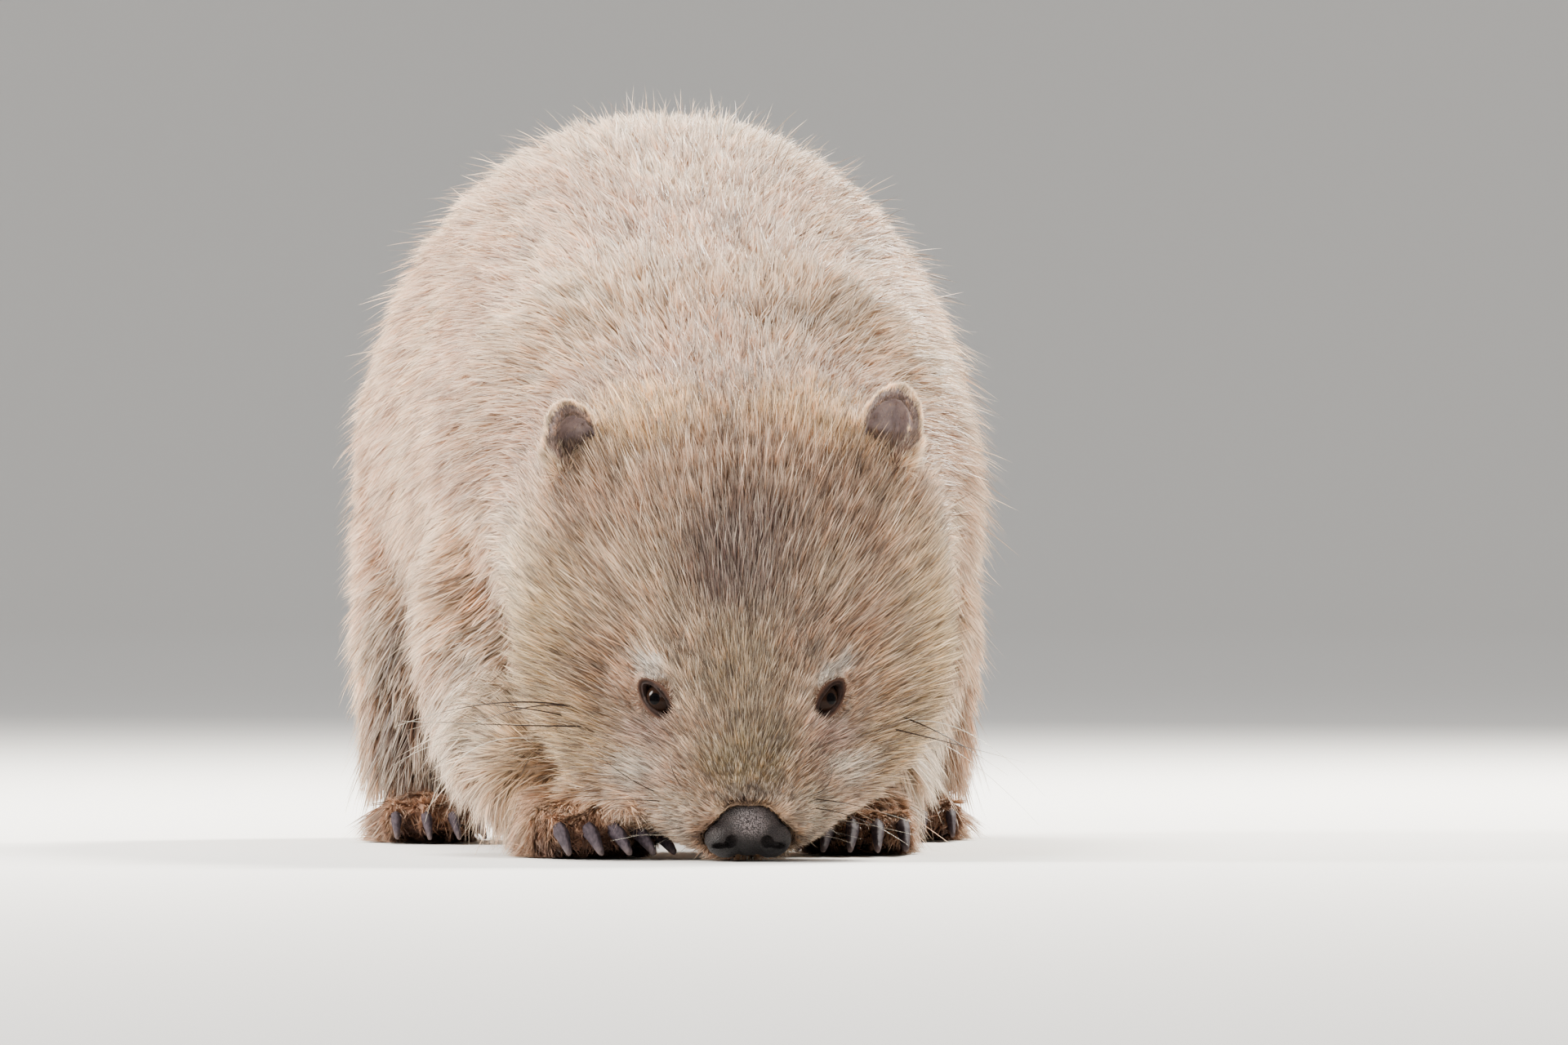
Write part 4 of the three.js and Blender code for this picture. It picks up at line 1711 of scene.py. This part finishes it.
    def lids(self) -> None:
        """Makes the two lids: a soft roll round an almond opening, which runs down into the skin."""
        turns = np.linspace(0, 2 * math.pi, self.around, endpoint=False)
        shares = [ring / (self.rings - 1) for ring in range(self.rings)]
        places = np.concatenate([self.lid_ring(share, turns) for share in shares])
        mesh = bpy.data.meshes.new("lids")
        mesh.from_pydata(places.tolist(), [], hoops(self.rings, self.around))
        mesh.update()
        share = np.repeat(shares, self.around)
        store(mesh, "root", places)
        store(mesh, "ring", np.column_stack([share, share, share]))
        mesh.materials.append(LidFinish().material())
        self.lid_surface = Surface(mesh)
        piece = link(f"{self.node}_lids", mesh)
        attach(piece, ROOT_BODY)

    def hairy(self, p: Array) -> Array:
        """Says how densely hair grows on the lids: none at their edges."""
        return bump(-Anatomy.eye_gap(p), -2.0, -0.9)

    def hair_length(self, p: Array) -> Array:
        """Gives the length of the hair on the lids."""
        return 2.2 + 1.6 * bump(-Anatomy.eye_gap(p), -5, -1)

    def grow(self, coat: "Coat") -> None:
        """Grows the short hair of the lids.

        Args:
            coat: The coat that it belongs to.
        """
        plan = CoatPlan(
            CoatTone.FACE, self.hairs, 1, 0.3, 1.0, 1.2, 0, 0, 0.16, self.hairy, length=self.hair_length
        )
        coat.grow(f"coat_{self.node}", plan, self.lid_surface, "coat", Anatomy.lie)


def refined(
    nodes: Sequence[str], name: str, voxel: float, rounds: int, finish: Finish
) -> bpy.types.Object:
    """Makes a finer, rounder copy of CAD nodes.

    Args:
        nodes: The nodes.
        name: The piece's name.
        voxel: The size of its faces.
        rounds: How often it is smoothed.
        finish: Its finish.

    Returns:
        The piece.
    """
    mesh = remeshed(welded(nodes, 0.0), voxel)
    smoothed(mesh, rounds)
    store(mesh, "root", Surface(mesh).places)
    mesh.materials.append(finish.material())
    piece = link(name, mesh)
    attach(piece, ROOT_BODY)
    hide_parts(*nodes)
    return piece


@dataclass
class Tubes:
    """The vertices, faces and stored numbers of tubes."""

    places: list[tuple[float, float, float]] = field(default_factory=list)
    faces: list[tuple[int, ...]] = field(default_factory=list)
    strand: list[tuple[float, float, float]] = field(default_factory=list)


@dataclass
class Whiskers:
    """Stiff whiskers as tapering tubes, each along a curve through three places.

    Attributes:
        skin: The skin that they grow from.
        sides: The sides of a tube.
        steps: The lengths that it is made of.
        seed: The seed of the short ones.
        short: How many short ones grow beside the nose on each side.
        brow: How many grow over each eye.
    """

    skin: Skin
    sides: int = 5
    steps: int = 12
    seed: int = 21
    short: int = 20
    brow: int = 5
    # root, middle and tip, each sideways and up, how far the tip lies in front of the root,
    # the root's radius and how pale the hair is, all in millimetres from the nose
    LONG = (
        ((-76, 72), (-120, 74), (-166, 63), 36, 0.5, 0.0),
        ((-75, 71), (-103, 72), (-140, 59), 34, 0.5, 0.0),
        ((-80, 67), (-105, 72), (-142, 75), 32, 0.46, 0.0),
        ((-72, 63), (-112, 64), (-162, 66), 36, 0.48, 0.0),
        ((-90, 56), (-128, 50), (-149, 17), 50, 0.34, 1.0),
        ((-110, 56), (-138, 55), (-163, 44), 44, 0.30, 1.0),
        ((-41, 32), (-60, 42), (-78, 57), 26, 0.34, 0.0),
        ((-30, 34), (-36, 44), (-36, 52), 18, 0.30, 0.0),
        ((-40, 28), (-57, 29), (-80, 29), 30, 0.30, 0.0),
        ((-28, 16), (-44, 14), (-66, 10), 28, 0.28, 0.0),
        ((76, 68), (98, 58), (126, 40), 30, 0.46, 0.0),
        ((72, 62), (96, 56), (134, 46), 30, 0.44, 0.0),
        ((78, 64), (108, 60), (144, 30), 32, 0.30, 0.8),
        ((84, 58), (112, 50), (152, 14), 40, 0.30, 1.0),
        ((32, 31), (39, 38), (38, 50), 18, 0.30, 0.0),
        ((32, 29), (52, 26), (78, 18), 30, 0.30, 0.0),
        ((30, 25), (52, 20), (74, 8), 30, 0.28, 0.0),
        ((34, 20), (52, 18), (80, 12), 16, 0.20, 0.2),
    )

    def hairs(self) -> list[tuple]:
        """Gives the long whiskers and draws the short ones.

        Returns:
            The whiskers, each as in LONG.
        """
        rng = np.random.default_rng(self.seed)
        hairs = list(self.LONG)
        for side in (-1, 1):
            for _ in range(self.short):
                root = np.array([side * rng.uniform(19, 31), rng.uniform(10, 32)])
                way = np.array([side * rng.uniform(0.6, 1.0), rng.uniform(-0.45, 0.3)])
                reach = way * rng.uniform(10, 34)
                bow = np.array([0, rng.uniform(0, 3)])
                look = (rng.uniform(4, 14), rng.uniform(0.11, 0.18), 0.5 * rng.random())
                hairs.append((root, root + reach / 2 + bow, root + reach, *look))
            for _ in range(self.brow):
                root = np.array([side * rng.uniform(27, 35), rng.uniform(88, 98)])
                reach = np.array([side * rng.uniform(-0.5, 0.5), 1.0]) * rng.uniform(14, 28)
                tip = root + reach + (side * rng.uniform(-4, 4), 0)
                hairs.append((root, root + reach / 2, tip, 12, rng.uniform(0.12, 0.18), 0.0))
        return hairs

    def build(self) -> None:
        """Makes all whiskers as one piece."""
        tubes = Tubes()
        for root, middle, tip, ahead, radius, pale in self.hairs():
            start = self.rooted(root)
            bend = np.array([middle[0], to_mm(start)[1] - ahead * 0.7, middle[1]])
            end = np.array([tip[0], to_mm(start)[1] - ahead, max(tip[1], 3.0)])
            self.tube(tubes, (start, to_metres(bend), to_metres(end)), radius * MM, pale)
        mesh = bpy.data.meshes.new("whiskers")
        mesh.from_pydata(tubes.places, [], tubes.faces)
        mesh.update()
        store(mesh, "strand", np.array(tubes.strand))
        mesh.materials.append(WhiskerFinish().material())
        piece = link("whiskers", mesh)
        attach(piece, ROOT_BODY)

    def rooted(self, root: Sequence[float]) -> Array:
        """Finds where a whisker leaves the skin.

        Args:
            root: How far sideways and up it grows, in millimetres from the nose.

        Returns:
            The place on the front of the skin, in metres.
        """
        ahead = to_metres((root[0], -60, root[1]))
        hit = self.skin.proxy_tree.ray_cast(Vector(ahead), Vector((0, 1, 0)))[0]
        if hit is None:
            hit = self.skin.proxy_tree.find_nearest(to_metres((root[0], 60, root[1])))[0]
        return np.array(hit)

    def tube(self, tubes: Tubes, curve: tuple[Array, Array, Array], radius: float, pale: float) -> None:
        """Adds one whisker.

        Args:
            tubes: The tubes so far.
            curve: Its root, a place that it passes half way, and its tip.
            radius: Its radius at the root.
            pale: How pale it is.
        """
        root, bend, tip = curve
        side = unit(np.cross(tip - root, np.array([0.1, 0.2, 1.0])))
        up = unit(np.cross(side, tip - root))
        pull = 2 * bend - (root + tip) / 2
        first = len(tubes.places)
        for step in range(self.steps + 1):
            t = step / self.steps
            middle = root * (1 - t) ** 2 + pull * 2 * t * (1 - t) + tip * t * t
            size = radius * (1 - 0.9 * t)
            for i in range(self.sides):
                a = 2 * math.pi * i / self.sides
                tubes.places.append(tuple(middle + (side * math.cos(a) + up * math.sin(a)) * size))
                tubes.strand.append((t, pale, 0.0))
        for a, b, c, d in hoops(self.steps + 1, self.sides, first):
            tubes.faces.append((a, d, c, b))
        last = first + self.steps * self.sides
        tubes.faces.append(tuple(first + i for i in reversed(range(self.sides))))
        tubes.faces.append(tuple(last + i for i in range(self.sides)))


@dataclass(frozen=True)
class Lamp:
    """A soft round light.

    Attributes:
        name: Its name.
        place: Where it is.
        aim: Where it points.
        size: How wide it is.
        power: Its power in watts.
        colour: Its colour.
    """

    name: str
    place: tuple[float, float, float]
    aim: tuple[float, float, float]
    size: float
    power: float
    colour: tuple[float, float, float]

    def build(self) -> None:
        """Adds the light to the scene."""
        data = bpy.data.lights.new(self.name, "AREA")
        data.shape = "DISK"
        data.size = self.size
        data.energy = self.power
        data.color = self.colour
        lamp = bpy.data.objects.new(self.name, data)
        lamp.location = self.place
        way = Vector(self.aim) - Vector(self.place)
        lamp.rotation_euler = way.to_track_quat("-Z", "Y").to_euler()
        bpy.context.scene.collection.objects.link(lamp)


@dataclass
class Studio:
    """Floor, light and camera.

    Attributes:
        distance: From the nose to the camera.
        height: The camera's height.
        azimuth: The camera's angle, towards the animal's right.
        lens: The lens on the sensor.
        sensor: The width of the sensor.
        shift: How far the picture is moved up, as a share of its width.
        aside: How far the camera is moved sideways.
        flat: How far the floor is flat.
        bend: The radius of its sweep.
        top: Its height behind that.
        around: How many sides it has.
    """

    distance: float = 7.5
    height: float = 0.154
    azimuth: float = -4.5
    lens: float = 365.6
    sensor: float = 36
    shift: float = 15 / 1920
    aside: float = 0.0163
    flat: float = 18.0
    bend: float = 5.0
    top: float = 9.0
    around: int = 96
    LAMPS = (
        Lamp("back_key", (1.6, 2.1, 2.4), (0.0, 0.0, 0.2), 0.8, 480, (1.0, 0.95, 0.86)),
        Lamp("top", (-0.6, 1.2, 2.8), (0.0, 0.1, 0.2), 1.2, 170, (1.0, 0.96, 0.90)),
        Lamp("front_fill", (-2.0, -4.0, 2.4), (0.0, -0.2, 0.12), 1.8, 75, (1.0, 0.99, 0.98)),
        Lamp("left_fill", (-2.6, 0.3, 1.5), (0.0, 0.1, 0.10), 1.0, 230, (1.0, 0.96, 0.90)),
    )

    def build(self) -> None:
        """Makes the floor, the lights and the camera."""
        self.floor()
        for lamp in self.LAMPS:
            lamp.build()
        world = bpy.data.worlds.new("studio")
        bpy.context.scene.world = world
        world.use_nodes = True
        back = world.node_tree.nodes["Background"]
        Nodes(world.node_tree).fill(back, {"Color": linear(243, 241, 240), "Strength": 0.75})
        self.camera()

    def floor(self) -> None:
        """Makes the floor, which sweeps up all round, far behind every view."""
        bends = np.linspace(0, math.pi / 2, 16)
        sweep = zip(self.flat + self.bend * np.sin(bends), self.bend - self.bend * np.cos(bends))
        profile = [(0.5, 0.0), *sweep, (self.flat + self.bend, self.top)]
        turns = np.linspace(0, 2 * math.pi, self.around, endpoint=False)
        places = [(r * math.cos(t), r * math.sin(t), z) for r, z in profile for t in turns]
        faces = [tuple(range(self.around)), *hoops(len(profile), self.around)]
        mesh = bpy.data.meshes.new("floor")
        mesh.from_pydata(places, [], faces)
        mesh.materials.append(FloorFinish().material())
        floor = link("floor", mesh)
        floor.location.z = -0.0002

    def camera(self) -> None:
        """Places the camera as the photograph's was."""
        turn = math.radians(self.azimuth)
        right = Vector((math.cos(turn), math.sin(turn), 0))
        back = Vector((math.sin(turn), -math.cos(turn), 0))
        data = bpy.data.cameras.new("camera")
        data.lens = self.lens
        data.sensor_width = self.sensor
        data.shift_y = self.shift
        data.clip_end = 100
        camera = bpy.data.objects.new("camera", data)
        nose = Vector(ORIGIN)
        camera.location = Vector((nose.x, nose.y, self.height)) + back * self.distance + right * self.aside
        camera.rotation_euler = (-back).to_track_quat("-Z", "Y").to_euler()
        bpy.context.scene.collection.objects.link(camera)
        bpy.context.scene.camera = camera


def trunk_weight(p: Array) -> Array:
    """Says how densely body hair grows.

    Args:
        p: Places on the animal.

    Returns:
        The density at each place.
    """
    hidden = 0.55 * bump(p[:, 2], 50, 90) * (1 - Anatomy.legs(p))
    body = np.clip(1 - 0.9 * Anatomy.head(p) - hidden, 0.05, 1)
    return body * (1 - Anatomy.feet(p)) * bump(-p[:, 1], -120, -80)


def head_weight(p: Array) -> Array:
    """Says how densely the hair of the head grows.

    Args:
        p: Places on the animal.

    Returns:
        The density at each place.
    """
    face = within(p, (0, 15, 30), 24, 60)
    bare = np.maximum(bump(Anatomy.eye_gap(p), 6.0, 10.0), face * 0.9)
    return bump(p[:, 1], 130, 175) * (1 - bare)


def face_weight(p: Array) -> Array:
    """Says how densely the short hair of the face grows.

    Args:
        p: Places on the animal.

    Returns:
        The density at each place: none in the eyes and on the nose pad, most round them.
    """
    gap = Anatomy.eye_gap(p)
    from_pad = np.hypot(p[:, 0] / 19.0, (p[:, 2] - 14) / 11.5)
    near = within(p, (0, 18, 45), 34, 86) + 2.0 * bump(from_pad, 1.3, 2.0)
    pad = bump(from_pad, 0.85, 1.0) * (p[:, 1] < 26)
    return np.maximum(near, 2.0 * bump(gap, 8.0, 13.0)) * (1 - bump(gap, 0.5, 1.7)) * (1 - pad)


def guard_weight(p: Array) -> Array:
    """Says how densely the long stray hairs grow."""
    bare = bump(Anatomy.eye_gap(p), 12, 20)
    return (1 - Anatomy.feet(p)) * (1 - Anatomy.muzzle(p)) * (1 - bare)


def streak_weight(p: Array) -> Array:
    """Says how densely the long dark and pale hairs of the head grow.

    Args:
        p: Places on the animal.

    Returns:
        The density at each place.
    """
    bare = bump(Anatomy.eye_gap(p), 2.5, 6.0)
    face = 1 + 2.2 * within(p, (0, 30, 80), 40, 100)
    return Anatomy.head(p) * face * (1 - bare) * (1 - within(p, (0, 8, 18), 24, 34))


class EarHair:
    """The hair of one ear: short and grey in the cup, longer and pale on the back and the rim."""

    def __init__(self, name: str, piece: bpy.types.Object) -> None:
        """Starts on an ear.

        Args:
            name: The ear's name.
            piece: Its skin.
        """
        self.name = name
        self.surface = Surface(piece.data)
        self.tree = tree_of(self.surface.places)
        places = to_mm(self.surface.places)
        self.low = places[:, 2].min()
        self.middle = (places.min(axis=0) + places.max(axis=0)) / 2
        self.reach = (places.max(axis=0) - places.min(axis=0)) / 2

    def cup(self, p: Array) -> Array:
        """Says how much places lie in the cup: on the front and away from the rim.

        Args:
            p: Places on the animal.

        Returns:
            A share from 0 to 1 for each place.
        """
        normals = self.surface.normals[nearest(self.tree, to_metres(p))]
        off = (p - self.middle) / self.reach
        return bump(normals[:, 1], -0.35, 0.0) * bump(np.hypot(off[:, 0], off[:, 2]), 0.78, 0.98)

    def back(self, p: Array) -> Array:
        """Says how much places lie outside the cup."""
        return 1 - self.cup(p)

    def lie(self, p: Array, normal: Array) -> Array:
        """Gives the way of the hair: up, and out past the rim.

        Args:
            p: Places on the animal.
            normal: The ear's outward normals there.

        Returns:
            Unit vectors in the plane of the ear's skin.
        """
        aside = np.sign(p[:, 0]) * 0.15 + 0.5 * ((p - self.middle) / self.reach)[:, 0]
        way = np.column_stack([aside, np.full(len(p), -0.1), np.full(len(p), 1.0)])
        return flattened(way, normal)

    def short(self, p: Array) -> Array:
        """Gives the length of the hair in the cup."""
        return 4.0 + 6.0 * bump(p[:, 2], self.low + 4, self.low + 20)

    def rim(self, p: Array) -> Array:
        """Gives the length of the hair on the back and the rim."""
        return 5.5 + 6.0 * bump(p[:, 2], self.low + 4, self.low + 18)

    def grow(self, coat: Coat) -> None:
        """Grows both sorts.

        Args:
            coat: The coat that they belong to.
        """
        cup = CoatPlan(
            CoatTone.EAR, 6000, 1, 0.34, 1.0, 0.7, 2, 0.3, 0.16, self.cup, length=self.short
        )
        back = CoatPlan(
            CoatTone.RIM, 9000, 1, 0.36, 1.0, 0.9, 2, 0.3, 0.2, self.back, length=self.rim
        )
        coat.grow(f"coat_{self.name}_cup", cup, self.surface, "ear", self.lie)
        coat.grow(f"coat_{self.name}_back", back, self.surface, "ear", self.lie)


TALL = (0.0, 0.36, 0.72, 1.0)  # where a long hair's ribbon has an edge
COAT_FINISHES = (
    CoatFinish(CoatTone.BODY, 0.40, 0.07, 0.3, 0.36, 0.80, 0.30),
    CoatFinish(CoatTone.HEAD, 0.38, 0.22, 0.4, 0.32, 0.62, 0.50),
    CoatFinish(CoatTone.FACE, 0.38, 0.30, 0.3, 0.24, 0.80, 0.45),
    CoatFinish(CoatTone.PAW, 0.55, 0.15, 0.3, 0.3, 0.5, 0.2),
    CoatFinish(CoatTone.GUARD, 0.8, 0.25, 0.3, 0.5, 0.9, 0.0),
    CoatFinish(CoatTone.STREAK, 0.6, 0.45, 0.1, 0.3, 1.0, 0.0),
    CoatFinish(CoatTone.EAR, 0.7, 0.25, 0.2, 0.2, 0.2, 0.2, linear(140, 118, 114), 0.9),
    CoatFinish(CoatTone.RIM, 0.8, 0.0, 0.5, 0.45, 0.6, 0.0, linear(244, 222, 194), 0.75),
)
COAT_PLANS = (
    ("coat_body", CoatPlan(CoatTone.BODY, 56000, 4, 0.95, 1.05, 1.05, 9, 0.6, 0.12, trunk_weight)),
    ("coat_head", CoatPlan(CoatTone.HEAD, 56000, 2, 0.62, 1.0, 0.85, 5, 0.5, 0.11, head_weight)),
    ("coat_face", CoatPlan(CoatTone.FACE, 60000, 1, 0.42, 1.0, 0.9, 2.2, 0.3, 0.11, face_weight)),
    ("coat_paws", CoatPlan(CoatTone.PAW, 20000, 1, 0.6, 1.0, 1.1, 5, 0.5, 0.22, Anatomy.feet)),
    ("coat_guard", CoatPlan(CoatTone.GUARD, 13000, 1, 0.40, 1.5, 1.3, 0, 0, 0.2, guard_weight, TALL)),
    ("coat_streak", CoatPlan(CoatTone.STREAK, 19000, 1, 0.46, 1.25, 1, 0, 0, 0.1, streak_weight, TALL)),
)


def main() -> None:
    """Builds the whole model in order."""
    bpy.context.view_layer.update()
    Studio().build()
    eyes = [Eye(name, side) for name, side in zip(EYES, (1, -1))]
    skin = Skin().build(eyes)
    log.info("skin: %d triangles", len(skin.surface.triangles))
    for eye in eyes:
        eye.build()
        log.info("eye: %s", eye.node)
    claws = [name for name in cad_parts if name.startswith("claw_")]
    refined(("nose",), "nose_pad", 0.0007, 5, NoseFinish())
    refined(claws, "claws", 0.0009, 3, ClawFinish())
    ears = [refined((name,), f"{name}_leaf", 0.0009, 8, EarFinish()) for name in EARS]
    log.info("nose, %d claws and %d ears", len(claws), len(ears))
    Whiskers(skin).build()
    log.info("whiskers")
    coat = Coat(skin, {finish.tone: finish for finish in COAT_FINISHES})
    for name, plan in COAT_PLANS:
        slot = "paw" if plan.tone is CoatTone.PAW else "coat"
        coat.grow(name, plan, skin.surface, slot, Anatomy.lie)
    for eye in eyes:
        eye.grow(coat)
    for name, ear in zip(EARS, ears):
        EarHair(name, ear).grow(coat)


if __name__ == "__main__":
    main()
